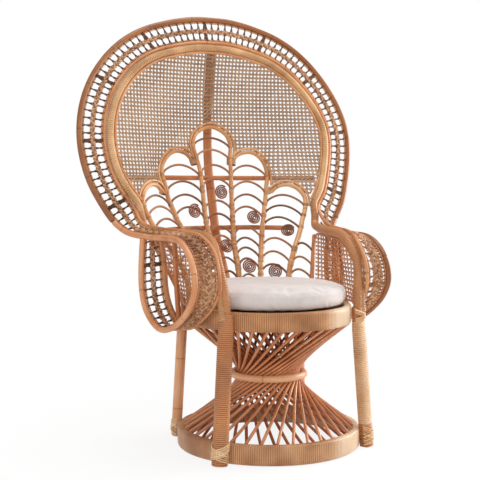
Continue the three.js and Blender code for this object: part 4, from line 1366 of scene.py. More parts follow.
@dataclass
class Border:
    """The border that runs up the arms and round the fan: two poles, a braid, rungs, a wound band and a bead.

    Sizes are in metres, the inset in mm. A front is the stretch of an arm's spans along its top, front and underside.
    """

    grower: Grower
    rim: float = 0.0099
    pole_step: float = 0.016
    bead: float = 0.005
    bead_inset: float = 136.5
    rung_step: float = 0.0262
    rung: float = 0.0023
    rung_tilt: float = 0.2
    rung_off: float = 0.0016
    rung_tuck: float = 0.003
    splice: int = 9
    splice_slide: float = 0.0042
    front: Row = (1.2, 10.5)
    braid_step: float = 0.0038
    braid_wave: float = 0.034
    braid: float = 0.0034
    braid_half: float = 0.006
    cord: float = 0.0021
    cord_inset: float = 0.0031
    cord_twist: float = 0.0019
    gap_cord: float = 0.0024
    gap_twist: float = 0.0021
    widest_gap: float = 0.016
    tuck: float = 0.0025
    turn_step: float = 0.0074
    core_share: float = 0.93
    outer: SmoothCurve = field(default_factory=partial(border_curve, 11, ARM_OUTER))
    inner: SmoothCurve = field(default_factory=partial(border_curve, 98, ARM_INNER))
    band: SmoothCurve = field(default_factory=partial(border_curve, 118.4, ARM_FRAME))

    def inner_radius(self, index: float) -> float:
        """Radius of the inner pole: thin in the fan and along the arms' tops and fronts, thicker up their backs.

        Args:
            index: A control index of the inner pole.

        Returns:
            The radius there.
        """
        spans = len(ARM_INNER)
        past = max(spans - index, index - spans - FAN_SPANS, 0.0)
        return (6.5 + 3.2 * min(max((past - 9) / 3, 0.0), 1.0)) * MM

    def band_radius(self, index: float) -> float:
        """Radius of the wound band: 13 mm in the fan, swelling to 16.5 mm along the arms.

        Args:
            index: A control index of the band.

        Returns:
            The radius there.
        """
        spans = len(ARM_FRAME)
        past = max(spans - index, index - spans - FAN_SPANS, 0.0) / spans
        return (13.3 + 3.4 * min(1.0, past * 2.2) - 2.2 * past * past) * MM

    def poles(self) -> None:
        """Bends the outer pole, the inner pole and the bead."""
        spans = len(ARM_OUTER)
        # One pole in three stretches: painted light on the left arm, painted shade on the rim and the right arm
        for name, finish, node, first, last in (
            ("arm_outer_pole_left", POLE_LIT_ARM, "arm_outer_loop_left", 0, spans),
            ("fan_rim_pole", RIM_SHADED, "fan_rim", spans, spans + FAN_SPANS),
            ("arm_outer_pole_right", RIM_SHADED, "arm_outer_loop_right", spans + FAN_SPANS, 2 * spans + FAN_SPANS),
        ):
            path = self.outer.run(self.pole_step, first, last)
            pole(name, path, self.rim, (14, 0.55), finish, Slot.POLE, node)
        marks, path = zip(*self.inner.even(self.pole_step))
        pole("border_inner_pole", path, [self.inner_radius(mark) for mark in marks], (12, 0.2), POLE, Slot.DARK,
             "fan_inner_pole", "arm_inner_pole_left", "arm_inner_pole_right")
        path = [at(border(self.bead_inset, FAN_END + 1 + i * 242 / 150)) for i in range(151)]
        pole("border_bead", path, self.bead, (10, 0.8), POLE, Slot.POLE, "fan_bead")

    def wound_band(self) -> None:
        """Winds the band inside the border, and more finely on down the arms' fronts."""
        marks, path = zip(*self.band.even(self.turn_step))
        radii = [self.band_radius(mark) for mark in marks]
        places = winding(path, radii, self.turn_step)
        first, last = len(ARM_FRAME) - 0.5, len(ARM_FRAME) + FAN_SPANS + 0.5
        turn, flat = partial(turn_shape, 14), partial(turn_shape, 16, sunk=0.975)
        for name, make, finish, low, high in (
            ("arm_frame_winding_left", flat, WOUND_FINE, 0.0, first),
            ("fan_band_winding", turn, WOUND, first, last),
            ("arm_frame_winding_right", flat, WOUND_FINE, last, 2.0 * len(ARM_FRAME) + FAN_SPANS),
        ):
            part = [place for place, mark in zip(places, marks) if low <= mark <= high]
            self.grower.repeat(name, make, part, finish, 3, Slot.WRAP)
        core = path[::3]
        stretch = (len(path) - 1) / (len(core) - 1)
        slim = [radii[round(i * stretch)] * self.core_share for i in range(len(core))]
        pole("border_band_core", core, slim, (12, 0.3), POLE, Slot.WRAP,
             "fan_wrap_band", "arm_frame_left", "arm_frame_right")

    def _frame(self, index: float) -> tuple[Vector, Vector, Vector, Vector, float]:
        """The border's own directions at an index.

        Args:
            index: A control index of the outer and inner poles.

        Returns:
            The braid's middle, the ways across, ahead and off the border, and the free width between the poles.
        """
        a, b = self.outer.at(index), self.inner.at(index)
        across = (b - a).normalized()
        ahead = (self.outer.at(index + 0.05) + self.inner.at(index + 0.05)
                 - self.outer.at(index - 0.05) - self.inner.at(index - 0.05)).normalized()
        ahead = (ahead - across * ahead.dot(across)).normalized()
        free = (b - a).length - self.rim - self.inner_radius(index)
        return a + across * (self.rim + free / 2), across, ahead, across.cross(ahead), free

    def middle_walk(self, step: float) -> list[float]:
        """Walks the middle between the poles in equal steps.

        Args:
            step: Length of a step.

        Returns:
            The poles' control index at each step.
        """
        halves = 2 * (len(self.outer.points) - 1)
        curve = SmoothCurve([self._frame(i / 2)[0] for i in range(halves + 1)])
        return [mark / 2 for mark, _ in curve.even(step)]

    def rungs(self) -> None:
        """Sets crossed pairs of short canes on both sides of the braid, closer and paler at the arms' fronts."""
        places: dict[bool, list[Place]] = {False: [], True: []}
        for number, index in enumerate(self.middle_walk(self.rung_step / 2)):
            past = max(len(ARM_OUTER) - index, index - len(ARM_OUTER) - FAN_SPANS)
            front = self.front[0] < past < self.front[1]
            if number % 2 and not front:
                continue
            spot, across, ahead, lift, free = self._frame(index)
            reach = free / 2 - self.braid_half
            # A splice of three pairs, now and then
            splice = number % (2 * self.splice) == 8
            slides = (-self.splice_slide, 0.0, self.splice_slide) if splice else (0.0,)
            for side in (-1,) if number % 2 else (-1, 1):
                for slide in slides:
                    centre = spot + across * (side * (self.braid_half + reach / 2)) + ahead * slide
                    for tilt in (-1, 1):
                        aim = (across + ahead * (self.rung_tilt * tilt)).normalized()
                        place = centre + lift * (self.rung_off * tilt)
                        places[front].append(Place(place, aim, lift, (reach + self.rung_tuck, 1, 1)))
        for front, name, finish in ((False, "border_rungs", CORE), (True, "arm_front_rungs", BRAID_CANE)):
            self.grower.repeat(name, partial(rung_shape, self.rung), places[front], finish, 8, Slot.DARK)

    def braids(self) -> None:
        """Plaits three canes along the middle of the border, and twists a pair beside each pole."""
        plait: list[list[Vector]] = [[], [], []]
        cords: list[list[Vector]] = [[], [], [], []]
        for n, index in enumerate(self.middle_walk(self.braid_step)):
            spot, across, _, lift, free = self._frame(index)
            turn = TURN * n * self.braid_step / self.braid_wave
            for k in range(3):
                t = turn + k * TURN / 3
                plait[k].append(spot + across * (2 * self.braid * math.sin(t)) + lift * (self.braid * math.sin(2 * t)))
            for side, base in ((-1, 0), (1, 2)):
                edge = spot + across * (side * (free / 2 - self.cord_inset))
                for k in range(2):
                    t = turn * 2.4 + k * math.pi
                    twist = across * (self.cord_twist * math.cos(t)) + lift * (self.cord_twist * math.sin(t))
                    cords[base + k].append(edge + twist)
        self.grower.canes("border_braid", plait, (self.braid, 6), PLAIT_CANE, 4, Slot.DARK,
                          "fan_lattice", "arm_lattice_left", "arm_lattice_right")
        self.grower.canes("border_cords", cords, (self.cord, 4), BRAID_CANE, 6, Slot.DARK)

    def front_weave(self) -> None:
        """Tucks short slanted ends beside the braid along the arms' tops, fronts and undersides."""
        spans = len(ARM_OUTER)
        chance = random.Random(17)
        places = []
        low, high = self.front
        for first, last in ((spans - high, spans - low), (spans + FAN_SPANS + low, spans + FAN_SPANS + high)):
            steps = round((last - first) * 11)
            for i in range(steps + 1):
                spot, across, ahead, lift, free = self._frame(first + (last - first) * i / steps)
                for side in (-1, 1):
                    slant = side * chance.uniform(0.6, 1.3)
                    aim = (across + ahead * slant + lift * chance.uniform(-0.15, 0.15)).normalized()
                    centre = spot + across * (side * free * 0.17) + lift * chance.uniform(-0.002, 0.003)
                    places.append(Place(centre, aim, lift, (free * chance.uniform(0.24, 0.4), 1, 1)))
        self.grower.repeat("arm_front_weave", partial(rung_shape, self.tuck), places, WEAVE_CANE, 17, Slot.DARK)

    def gap_cords(self) -> None:
        """Twists a pair of canes into the narrow gap between each arm's inner pole and its frame."""
        spans = len(ARM_FRAME)
        walk = self.band.even(0.006)
        halves = (
            ([row for row in walk if row[0] < spans - 1], 0.0),
            ([row for row in walk if row[0] > spans + FAN_SPANS + 1], len(ARM_INNER) + FAN_SPANS),
        )
        lines: list[list[Vector]] = []
        for near, start in halves:
            pair: list[list[Vector]] = [[], []]
            for n, (index, point) in enumerate(self.inner.even(0.004, start + 1, start + len(ARM_INNER) - 1)):
                reaches = [(other - point).length for _, other in near]
                mark, other = near[reaches.index(min(reaches))]
                gap = min(reaches) - self.inner_radius(index) - self.band_radius(mark)
                if gap > self.widest_gap:
                    continue
                across = (other - point).normalized()
                centre = point + across * (self.inner_radius(index) + gap / 2)
                lift = Vector((0, -1, 0)) - across * -across.y
                for k in range(2):
                    t = n * 0.55 + k * math.pi
                    twist = across * (self.gap_twist * math.cos(t)) + lift * (self.gap_twist * math.sin(t))
                    pair[k].append(centre + twist)
            lines.extend(pair)
        self.grower.canes("arm_gap_cords", lines, (self.gap_cord, 5), BRAID_CANE, 7, Slot.DARK)

    def build(self) -> None:
        """Makes the whole border."""
        self.poles()
        self.wound_band()
        self.rungs()
        self.braids()
        self.front_weave()
        self.gap_cords()


@dataclass
class CaneWeb:
    """Woven cane: pairs of strands up and across, single ones on both slants, with open eight-sided holes.

    Layers are the heights off the web of the upright, the level, the rising and the falling strands.
    """

    grower: Grower
    pitch: float = 14.0
    pair: float = 1.65
    strand: float = 0.00135
    layers: tuple[float, float, float, float] = (0.0, 0.9, 1.9, -1.0)
    panel_stretch: float = 1.8
    panel_strand: float = 0.8
    trim: float = 0.0035
    inset: float = 138.5

    def lines(
        self, width: Row, height: Row, inside: Callable[[float, float], bool],
        place: Callable[[float, float, float], Vector], stretch: float = 1.0
    ) -> list[list[Vector]]:
        """Lays the strands of a web and cuts them to its outline.

        Args:
            width: Lowest and highest u in mm.
            height: Lowest and highest v in mm.
            inside: Whether the web covers a u and v.
            place: The spot of a u, a v and a height off the web.
            stretch: Pitch along u as a share of the pitch along v.

        Returns:
            Polylines.
        """
        step = self.pitch / 2
        pace = step * stretch
        found: list[list[Vector]] = []

        def cut(points: list[Row], off: float) -> None:
            """Keeps the stretches of one strand that lie inside.

            Args:
                points: The strand's u and v at each knot.
                off: Its height off the web.
            """
            run: list[Vector] = []
            held = False
            for last, spot in zip([points[0], *points], points):
                covered = inside(*spot)
                if covered != held:
                    (u0, v0), (u1, v1) = (last, spot) if covered else (spot, last)
                    for _ in range(5):
                        u, v = (u0 + u1) / 2, (v0 + v1) / 2
                        (u0, v0), (u1, v1) = ((u0, v0), (u, v)) if inside(u, v) else ((u, v), (u1, v1))
                    run.append(place(u1, v1, off))
                if covered:
                    run.append(place(*spot, off))
                elif run:
                    found.append(run)
                    run = []
                held = covered
            if len(run) > 1:
                found.append(run)

        def knot(i: int, j: int) -> Row:
            """The u and v of a column and a row."""
            return (width[0] + i * pace, height[0] + j * step)

        rows = range(int((height[1] - height[0]) / step) + 3)
        columns = range(int((width[1] - width[0]) / pace) + 3)
        upright, level, rising, falling = self.layers
        for i in columns[::2]:
            for side in (-self.pair, self.pair):
                cut([(knot(i, j)[0] + side, knot(i, j)[1]) for j in rows], upright)
        for j in rows[::2]:
            for side in (-self.pair, self.pair):
                cut([(knot(i, j)[0], knot(i, j)[1] + side) for i in columns], level)
        for start in range(-rows[-1], columns[-1] + 1):
            if start % 2:
                cut([knot(start + j, j) for j in rows], rising)
        for start in range(1, columns[-1] + rows[-1] + 1, 2):
            cut([knot(start - j, j) for j in rows], falling)
        return found

    def fan(self) -> None:
        """Weaves the fan's web in the bowl above the feathers."""
        edge = [border(self.inset, FAN_END + i) for i in range(123)]
        across = [x for x, _, _ in edge]
        limit = max(across)
        widest = across.index(limit)
        upper = [(x, z) for x, _, z in reversed(edge[widest:])]
        lower_bead = [(x, z) for x, _, z in edge[:widest + 1]]

        def inside(x: float, z: float) -> bool:
            """Tells whether the web covers a spot of the back.

            Args:
                x: Place across the back, in mm.
                z: Height.

            Returns:
                True where it does.
            """
            side = abs(x)
            if side > limit:
                return False
            floor = max(table(WEB_FLOOR, side), table(lower_bead, side) if side > 322 else 0.0)
            return floor <= z <= table(upper, side)

        def place(x: float, z: float, off: float) -> Vector:
            """The spot on the bowl, off it towards the sitter."""
            return at((x, web_depth(x, z) - off, z))

        lines = self.lines((-406, 406), (794, 1352), inside, place)
        self.grower.canes("fan_cane_web", lines, (self.strand, 4), WEB_CANE, 2, Slot.WEB, "fan_cane")

    def panel(self, side: Side) -> None:
        """Weaves the panel between an arm and the seat, with a thin pole round it.

        Args:
            side: Which arm.
        """
        sign = side.value
        feet, heads, marks = [], [], [0.0]
        for y, x, z, low in PANEL_COLUMNS:
            feet.append(Vector((sign * math.sqrt(PANEL_RING ** 2 - low ** 2), low, PANEL_FOOT)))
            heads.append(Vector((sign * x, y, z)))
        for k in range(1, len(feet)):
            gap = (feet[k] + heads[k]) / 2 - (feet[k - 1] + heads[k - 1]) / 2
            marks.append(marks[-1] + Vector((gap.x, gap.y, 0)).length)

        def column(u: float) -> tuple[Vector, Vector]:
            """Finds the foot and head of the panel.

            Args:
                u: Distance along it in mm.

            Returns:
                Both spots.
            """
            k = next((k for k in range(1, len(marks)) if u <= marks[k]), len(marks) - 1)
            f = (u - marks[k - 1]) / (marks[k] - marks[k - 1])
            return feet[k - 1].lerp(feet[k], f), heads[k - 1].lerp(heads[k], f)

        def inside(u: float, v: float) -> bool:
            """Whether the panel covers a distance along it and a height."""
            return 0 <= u <= marks[-1] and PANEL_FOOT <= v <= column(u)[1].z

        def place(u: float, v: float, off: float) -> Vector:
            """Finds a spot on the panel.

            Args:
                u: Distance along it in mm.
                v: Height.
                off: Distance off it towards the sitter.

            Returns:
                The spot in the frame.
            """
            foot, head = column(u)
            spot = foot.lerp(head, (v - PANEL_FOOT) / (head.z - PANEL_FOOT))
            return at((spot.x - sign * off, spot.y, spot.z))

        lines = self.lines((0, marks[-1]), (PANEL_FOOT, PANEL_HEAD), inside, place, self.panel_stretch)
        section = (self.strand * self.panel_strand, 4)
        name = side.label
        self.grower.canes(f"arm_cane_{name}", lines, section, PANEL_CANE, 12, Slot.WEB, f"arm_panel_{name}")
        path = bent([*feet, *heads[::-1], feet[0]], 0.012)
        pole(f"arm_panel_trim_{name}", path, self.trim, (8, 0.6), POLE, Slot.POLE)

    def build(self) -> None:
        """Weaves all three webs."""
        self.fan()
        self.panel(Side.LEFT)
        self.panel(Side.RIGHT)


@dataclass
class Arms:
    """The arms' own posts behind the cane panels, and the braces inside the arms."""

    post: float = 0.008
    brace: float = 0.0085
    step: float = 0.012

    def build(self) -> None:
        """Makes a rear post and a brace for each arm."""
        for side in Side:
            name = side.label
            path = bent(mirrored(ARM_POST, side), self.step)
            pole(f"arm_rear_post_{name}", path, self.post, (12, 0.3), POLE, Slot.POLE, f"arm_post_{name}")
            path = bent(mirrored(ARM_BRACE, side), self.step)
            pole(f"arm_drum_brace_{name}", path, self.brace, (12, 0.4), BRACE, Slot.POLE, f"arm_slat_{name}")


@dataclass(frozen=True)
class Cell:
    """One feather's opening between two stems: its rungs' crowns, their rise and its scrolls."""

    name: str
    left: str
    right: str
    crowns: tuple[float, ...]
    rise: float
    scrolls: tuple[tuple[str, float, float], ...] = ()


CENTRE_CROWNS = (1026, 982, 925, 875, 794, 746, 700, 667, 590, 543)
MID_CROWNS = (924, 864, 816, 771, 698, 658, 623, 585, 530)
SIDE_CROWNS = (814, 775, 732, 657, 610, 565)
END_CROWNS = (640, 592, 548)
CELLS = (
    Cell("centre", "centre_left", "centre_right", CENTRE_CROWNS, 30,
         (("scroll_centre_high", 14, 823), ("scroll_centre_low", 9, 625))),
    Cell("mid_left", "mid_left", "centre_left", MID_CROWNS, 36, (("scroll_mid_left", -100, 755),)),
    Cell("mid_right", "centre_right", "mid_right", MID_CROWNS, 36,
         (("scroll_mid_right_high", 134, 727), ("scroll_mid_right_low", 78, 554))),
    Cell("side_left", "side_left", "mid_left", SIDE_CROWNS, 36),
    Cell("side_right", "mid_right", "side_right", SIDE_CROWNS, 36,
         (("scroll_side_right_high", 239, 679), ("scroll_side_right_low", 162, 538))),
    Cell("end_left", "post_left", "side_left", END_CROWNS, 28),
    Cell("end_right", "side_right", "post_right", END_CROWNS, 28),
)


@dataclass
class Plume:
    """Five feathers of bent pole with arched rungs and scrolls, and the post and rails behind them.

    The drop is how far an arch's left and right foot lie under its crown, as shares of its rise.
    """

    grower: Grower
    rung: float = 0.0041
    wire: float = 0.0028
    coil: float = 0.0066
    coil_start: float = 0.0022
    coil_off: float = 0.0085
    coil_steps: int = 28
    coil_points: int = 102
    liner: float = 0.0043
    post: float = 0.0175
    post_squash: float = 0.36
    rail: float = 0.0088
    stem_step: float = 0.008
    pole_step: float = 0.01
    drop: Row = (0.8, 1.15)
    arch_steps: int = 16
    arch_power: float = 0.72
    arch_off: float = 0.002
    stems: dict[str, list[Vector]] = field(default_factory=dict)

    def __post_init__(self) -> None:
        """Lays out the stems that the rungs meet."""
        runs = {"centre": [*CENTRE_HALF, CENTRE_TOP], "mid": MID_FEATHER, "side": SIDE_FEATHER, "post": ARM_POST}
        for side in Side:
            for name, spots in runs.items():
                self.stems[f"{name}_{side.label}"] = bent(mirrored(spots, side), self.stem_step)

    def stem_at(self, stem: str, z: float) -> Vector | None:
        """Finds a stem's spot at a height, on its run below the crown.

        Args:
            stem: The stem's name.
            z: Height in metres.

        Returns:
            The spot, or None where the stem doesn't reach it.
        """
        best: Vector | None = None
        path = self.stems[stem]
        for a, b in zip(path, path[1:]):
            if (a.z - z) * (b.z - z) <= 0 and a.z != b.z:
                hit = a.lerp(b, (z - a.z) / (b.z - a.z))
                if best is None or hit.y < best.y:
                    best = hit
        return best

    def feathers(self) -> None:
        """Bends the feathers' poles."""
        runs = {
            "feather_centre": CENTRE_FEATHER,
            "feather_mid_left": mirrored(MID_FEATHER), "feather_mid_right": MID_FEATHER,
            "feather_side_left": mirrored(SIDE_FEATHER), "feather_side_right": SIDE_FEATHER,
        }
        for number, (name, spots) in enumerate(runs.items()):
            path = bent(spots, self.pole_step)
            radii = [table(FEATHER_RADIUS, point.z / MM) * MM for point in path]
            pole(f"{name}_pole", path, radii, (14, 0.17 * number), FEATHER, Slot.POLE, name)

    def liners(self) -> None:
        """Lays a thin cane along the outer side of each feather's crown, over the web's edge."""
        # Each crown's path, a spot inside it, and the height at which its liner ends
        runs = [(CENTRE_FEATHER, (0, 440, 950), 945)]
        for side in Side:
            runs.append((mirrored(MID_FEATHER, side), (side.value * 150, 420, 900), 850))
            runs.append((mirrored(SIDE_FEATHER, side), (side.value * 270, 350, 790), 775))
        draft = Draft()
        for number, (spots, heart, floor) in enumerate(runs):
            path = bent(spots, self.pole_step)
            middle = at(heart)
            line = []
            for i in range(1, len(path) - 1):
                if path[i].z < floor * MM:
                    continue
                out = (path[i + 1] - path[i - 1]).cross(REAR).normalized()
                out = out if out.dot(path[i] - middle) > 0 else -out
                reach = table(FEATHER_RADIUS, path[i].z / MM) * MM + 0.006
                point = path[i] + out * reach
                point.y = min(point.y, at((0, web_depth(point.x / MM, point.z / MM), 0)).y) - 0.0035
                line.append(point)
            draft.tube(line, self.liner, 10, 0.2 * number)
        settle(draft.build("feather_liners", FEATHER), Slot.POLE)

    def arch(self, cell: Cell, crown: float) -> list[Vector] | None:
        """Draws one arched rung between two stems.

        Args:
            cell: The feather's opening.
            crown: Height of the arch's crown in mm.

        Returns:
            Its points, or None where the stems don't reach.
        """
        a = self.stem_at(cell.left, (crown - self.drop[0] * cell.rise) * MM)
        b = self.stem_at(cell.right, (crown - self.drop[1] * cell.rise) * MM)
        if a is None or b is None:
            return None
        line = []
        for i in range(self.arch_steps + 1):
            f = i / self.arch_steps
            point = a.lerp(b, 0.03 + 0.94 * f)
            point.z += sum(self.drop) / 2 * cell.rise * MM * math.sin(math.pi * f) ** self.arch_power
            left, right = self.stem_at(cell.left, point.z), self.stem_at(cell.right, point.z)
            if left and right:
                point.y = left.y * (1 - f) + right.y * f
            line.append(point - REAR * self.arch_off)
        return line

    def rungs(self) -> None:
        """Sets the arched rungs of each feather."""
        for number, cell in enumerate(CELLS):
            lines = [line for line in (self.arch(cell, crown) for crown in cell.crowns) if line]
            self.grower.canes(f"arches_{cell.name}", lines, (self.rung, 8), ARCH_CANE, 30 + number, Slot.DARK,
                              f"rungs_{cell.name}")

    def scrolls(self) -> None:
        """Coils the flat scrolls: under four turns of thin cane and a tail to the stem."""
        for cell in CELLS:
            for name, x, z in cell.scrolls:
                a, b = self.stem_at(cell.left, z * MM), self.stem_at(cell.right, z * MM)
                across = (b - a).normalized()
                rise = self.stem_at(cell.right, (z + 25) * MM) - self.stem_at(cell.right, (z - 25) * MM)
                up = (rise - across * rise.dot(across)).normalized()
                ahead = across.cross(up)
                centre = a.lerp(b, (x * MM - a.x) / (b.x - a.x)) + ahead * self.coil_off
                line = []
                for i in range(self.coil_points):
                    turn = TURN * i / self.coil_steps
                    r = self.coil_start + self.coil * i / self.coil_steps
                    line.append(centre - across * (r * math.sin(turn)) - up * (r * math.cos(turn)))
                line.append(line[-1] - across * 0.006 + up * 0.0005)
                self.grower.canes(f"{name}_coil", [line], (self.wire, 7), SCROLL_CANE, 50, Slot.DARK, name)

    def lashings(self) -> None:
        """Binds the stems where rungs and feathers meet them."""
        places = []
        for stem, path in self.stems.items():
            heights = {c - cell.rise for cell in CELLS for c in cell.crowns if stem in (cell.left, cell.right)}
            for height in sorted(heights):
                spot = self.stem_at(stem, height * MM)
                if spot is None or stem.startswith("post"):
                    continue
                gaps = [(point - spot).length for point in path]
                i = gaps.index(min(gaps))
                aim = (path[min(i + 1, len(path) - 1)] - path[max(i - 1, 0)]).normalized()
                girth = (table(FEATHER_RADIUS, height) + 1.3) * MM
                for k in (-1, 0, 1):
                    places.append(Place(spot + aim * (0.0034 * k), aim, REAR, (0.0036, girth, girth)))
        # Where one feather springs from the next: a spot and the way that the lashing leans
        for side in Side:
            for joint, lean in (((75, 443, 938), (0.2, 0.4, 1)), ((209, 405, 829), (-0.3, 0.3, 1))):
                aim = Vector((lean[0] * side.value, lean[1], lean[2])).normalized()
                spot = at(mirrored([joint], side)[0])
                for k in range(-3, 4):
                    places.append(Place(spot + aim * (0.0036 * k), aim, REAR, (0.0038, 0.0185, 0.0115)))
        self.grower.repeat("feather_lashings", partial(turn_shape, 14), places, WOUND_PALE, 9, Slot.POLE)

    def braces(self) -> None:
        """Makes the flat centre post and the two rails behind the feathers."""
        pole("back_post", bent(POST_PATH, 0.02), self.post, (20, 0.5), BRACE, Slot.DARK, "centre_post",
             start=REAR, squash=self.post_squash)
        for name, half in (("upper_rail", UPPER_RAIL), ("lower_rail", LOWER_RAIL)):
            path = bent([*mirrored(half[1:])[::-1], *half], 0.014)
            pole(f"{name}_pole", path, self.rail, (12, 0.3), BRACE, Slot.DARK, name)

    def build(self) -> None:
        """Makes the whole plume."""
        self.feathers()
        self.liners()
        self.rungs()
        self.scrolls()
        self.lashings()
        self.braces()


@dataclass
class SeatCushion:
    """A loose round cushion: a stuffed cotton cover, crowned above and flat where it lies on the seat ring."""

    radius: float = 257.0
    bottom: float = 460.0
    side: float = 514.0
    crown: float = 537.0
    steps: int = 96
    voxel: float = 0.0055
    swell: float = 0.006
    pressure: float = 1.6
    stiffness: float = 40.0
    bending: float = 12.0
    frames: int = 20
    seam_width: float = 7
    seam_pull: float = 0.009
    fill: float = 0.75

    def shell(self) -> Object:
        """Turns the cover's first shape, a little smaller than the stuffed one.

        Returns:
            A closed mesh object.
        """
        rim, low, edge, top = self.radius, self.bottom, self.side, self.crown
        profile = [
            (0, low), (rim - 12, low), (rim - 4, low + 8), (rim - 2, low + 24), (rim - 2, edge - 9),
            (rim - 4, edge - 1), (rim - 12, edge + 4), (rim - 40, edge + 8), (rim - 90, top - 11),
            (rim - 170, top - 7), (0, top - 6),
        ]
        shape = bmesh.new()
        rows = []
        for r, z in profile:
            spots = circle(self.steps, r) if r else [(0, 0)]
            rows.append([shape.verts.new(at((x, y, z))) for x, y in spots])
        for low, high in zip(rows, rows[1:]):
            for i in range(self.steps):
                j = (i + 1) % self.steps
                if len(low) == 1:
                    shape.faces.new((low[0], high[j], high[i]))
                elif len(high) == 1:
                    shape.faces.new((low[i], low[j], high[0]))
                else:
                    shape.faces.new((low[i], low[j], high[j], high[i]))
        mesh = bpy.data.meshes.new("cushion_cover")
        shape.to_mesh(mesh)
        shape.free()
        return linked("cushion_cover", mesh)

    def stuff(self, piece: Object) -> None:
        """Blows the cover up as cloth, caps the movement and keeps it on the seat.

        Args:
            piece: The cover, changed in place.
        """
        scene = bpy.context.scene
        bpy.context.view_layer.objects.active = piece
        remesh = piece.modifiers.new("Voxels", "REMESH")
        remesh.mode = "VOXEL"
        remesh.voxel_size = self.voxel
        self._apply(piece)
        before = [v.co.copy() for v in piece.data.vertices]
        cloth = piece.modifiers.new("Cloth", "CLOTH")
        for key, value in {
            "use_pressure": True, "uniform_pressure_force": self.pressure, "quality": 6,
            "tension_stiffness": self.stiffness, "compression_stiffness": self.stiffness,
            "bending_stiffness": self.bending,
        }.items():
            setattr(cloth.settings, key, value)
        cloth.settings.effector_weights.gravity = 0.0
        cloth.point_cache.frame_start = 1
        cloth.point_cache.frame_end = self.frames
        for number in range(1, self.frames + 1):
            scene.frame_set(number)
        self._apply(piece)
        scene.frame_set(1)
        limit = (self.radius + 2.5) * MM
        for vertex, old in zip(piece.data.vertices, before):
            move = vertex.co - old
            if move.length > self.swell:
                vertex.co = old + move.normalized() * self.swell
            x, y = vertex.co.x, vertex.co.y - AXIS_Y
            reach = math.hypot(x, y)
            if reach > limit:
                vertex.co.x, vertex.co.y = x * limit / reach, y * limit / reach + AXIS_Y
            vertex.co.z = min(max(vertex.co.z, self.bottom * MM), (self.crown + 4) * MM)

    def _apply(self, piece: Object) -> None:
        """Replaces a piece's mesh by its evaluated one and removes its modifiers.

        Args:
            piece: The piece, changed in place.
        """
        view = bpy.context.evaluated_depsgraph_get()
        mesh = bpy.data.meshes.new_from_object(piece.evaluated_get(view), depsgraph=view)
        old = piece.data
        piece.modifiers.clear()
        piece.data = mesh
        bpy.data.meshes.remove(old)

    def seam(self, piece: Object) -> None:
        """Draws the cover in along the seams round its top and bottom edges, and softens it.

        Args:
            piece: The stuffed cover, changed in place.
        """
        for vertex in piece.data.vertices:
            x, y = vertex.co.x, vertex.co.y - AXIS_Y
            reach = math.hypot(x, y)
            if reach < (self.radius - 40) * MM:
                continue
            for height in (self.side - 3, self.bottom + 11):
                gap = abs(vertex.co.z / MM - height) / self.seam_width
                if gap < 1:
                    pull = 1 - self.seam_pull * (1 - gap) ** 2 * (reach / (self.radius * MM))
                    vertex.co.x, vertex.co.y = x * pull, y * pull + AXIS_Y
        soft = piece.modifiers.new("Soften", "SUBSURF")
        soft.levels = soft.render_levels = 1
        self._apply(piece)
        piece.data.name = piece.name
        piece.data.polygons.foreach_set("use_smooth", [True] * len(piece.data.polygons))
        piece.data.materials.clear()
        piece.data.materials.append(COTTON.material())

    def build(self) -> None:
        """Makes the cushion."""
        piece = self.shell()
        self.stuff(piece)
        self.seam(piece)
        settle(piece, Slot.CLOTH, "cushion", body=Body.CUSHION)


# Large soft lamps: name, spot, power in watts and width
LAMPS = (
    ("key", (2.9, -0.2, 1.3), 95, 1.6), ("front", (-1.4, -2.9, 2.0), 26, 2.5),
    ("left", (-2.8, -0.8, 0.8), 11, 1.6), ("top", (0.2, -0.2, 3.6), 54, 2.0),
)


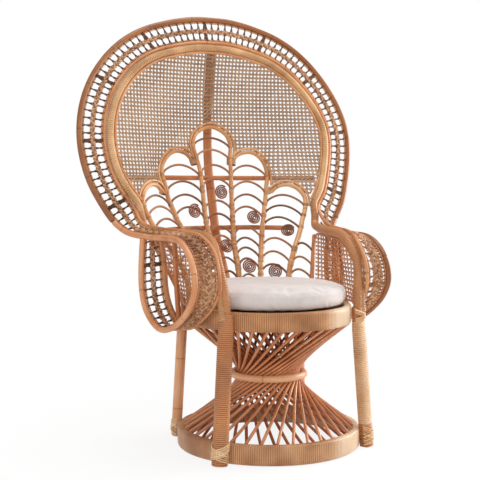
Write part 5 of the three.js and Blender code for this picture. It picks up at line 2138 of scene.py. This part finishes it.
@dataclass
class Studio:
    """A white floor, soft lamps and the camera at the photograph's place."""

    turn: float = 26.0
    back: float = 3.3
    aside: float = 0.0937
    height: float = 0.84
    lens: float = 74.78
    drop: float = -52 / 480
    floor_half: float = 9
    floor_z: float = -0.001
    world: float = 0.45
    lamp_tint: Spot = (1.0, 0.985, 0.965)
    lamp_aim: Spot = (0, 0, 0.75)

    def place(self, name: str, data: Any, spot: Vector, ahead: Vector) -> Object:
        """Sets a camera or a lamp in the scene.

        Args:
            name: Its name.
            data: The camera or lamp.
            spot: Where it stands.
            ahead: The way that it looks.

        Returns:
            The object.
        """
        thing = bpy.data.objects.new(name, data)
        thing.location = spot
        thing.rotation_mode = "QUATERNION"
        thing.rotation_quaternion = ahead.to_track_quat("-Z", "Y")
        bpy.context.scene.collection.objects.link(thing)
        return thing

    def camera(self) -> None:
        """Sets a level camera whose frame is shifted down."""
        look = math.radians(self.turn)
        ahead = Vector((math.sin(look), math.cos(look), 0))
        right = Vector((math.cos(look), -math.sin(look), 0))
        data = bpy.data.cameras.new("camera")
        data.lens = self.lens
        data.sensor_width = 36
        data.shift_y = self.drop
        data.clip_end = 60
        spot = Vector((0, AXIS_Y, self.height)) - ahead * self.back - right * self.aside
        bpy.context.scene.camera = self.place("camera", data, spot, ahead)

    def floor(self) -> None:
        """Lays a plain white floor that keeps the chair's shadow."""
        material, tree = blank_material("studio_floor")
        path = add(tree, "ShaderNodeLightPath").node.outputs
        seen = add(tree, "ShaderNodeMath", {0: path["Is Camera Ray"], 1: path["Is Glossy Ray"]}, operation="MAXIMUM")
        place = add(tree, "ShaderNodeTexCoord", out="Object")
        away = add(tree, "ShaderNodeVectorMath", {0: place}, "Value", operation="LENGTH")
        plain = add(tree, "ShaderNodeMapRange", {
            "Value": away, "From Min": 0.35, "From Max": 1.1, "To Min": 0.86, "To Max": 1.0},
            interpolation_type="SMOOTHSTEP")
        share = add(tree, "ShaderNodeMath", {0: seen, 1: plain}, operation="MULTIPLY")
        matt = add(tree, "ShaderNodeBsdfDiffuse", {"Color": linear("#F7F5F3")})
        glow = add(tree, "ShaderNodeEmission", {"Color": linear("#FFFFFF"), "Strength": 1.0})
        mix = add(tree, "ShaderNodeMixShader", {0: share, 1: matt, 2: glow})
        add(tree, "ShaderNodeOutputMaterial", {"Surface": mix})
        mesh = bpy.data.meshes.new("floor")
        h, z = self.floor_half, self.floor_z
        mesh.from_pydata([(-h, -h, z), (h, -h, z), (h, h, z), (-h, h, z)], [], [(0, 1, 2, 3)])
        floor = linked("floor", mesh)
        mesh.materials.append(material)

    def light(self) -> None:
        """Sets the world and four large soft lamps."""
        world = bpy.data.worlds.new("studio")
        bpy.context.scene.world = world
        world.use_nodes = True
        tree = world.node_tree
        tree.nodes.clear()
        path = add(tree, "ShaderNodeLightPath").node.outputs
        seen = add(tree, "ShaderNodeMath", {0: path["Is Camera Ray"], 1: path["Is Transmission Ray"]},
                   operation="MAXIMUM")
        level = add(tree, "ShaderNodeMapRange", {"Value": seen, "To Min": self.world, "To Max": 1.0})
        sky = add(tree, "ShaderNodeBackground", {"Color": linear("#FFFFFF"), "Strength": level})
        add(tree, "ShaderNodeOutputWorld", {"Surface": sky})
        for name, spot, power, size in LAMPS:
            data = bpy.data.lights.new(name, "AREA")
            data.energy = power
            data.size = size
            data.color = self.lamp_tint
            self.place(name, data, Vector(spot), Vector(self.lamp_aim) - Vector(spot))
        bpy.context.scene.view_settings.view_transform = "Standard"

    def build(self) -> None:
        """Sets the whole studio."""
        self.camera()
        self.floor()
        self.light()


def main() -> None:
    """Builds the chair's sub-assemblies in order."""
    logging.basicConfig(level=logging.INFO, format="%(name)s %(message)s")
    Studio().build()
    grower = Grower()
    for part in (Hourglass(grower), Border(grower), CaneWeb(grower), Arms(), Plume(grower), SeatCushion()):
        LOG.info("building %s", type(part).__name__)
        part.build()


if __name__ == "__main__":
    main()
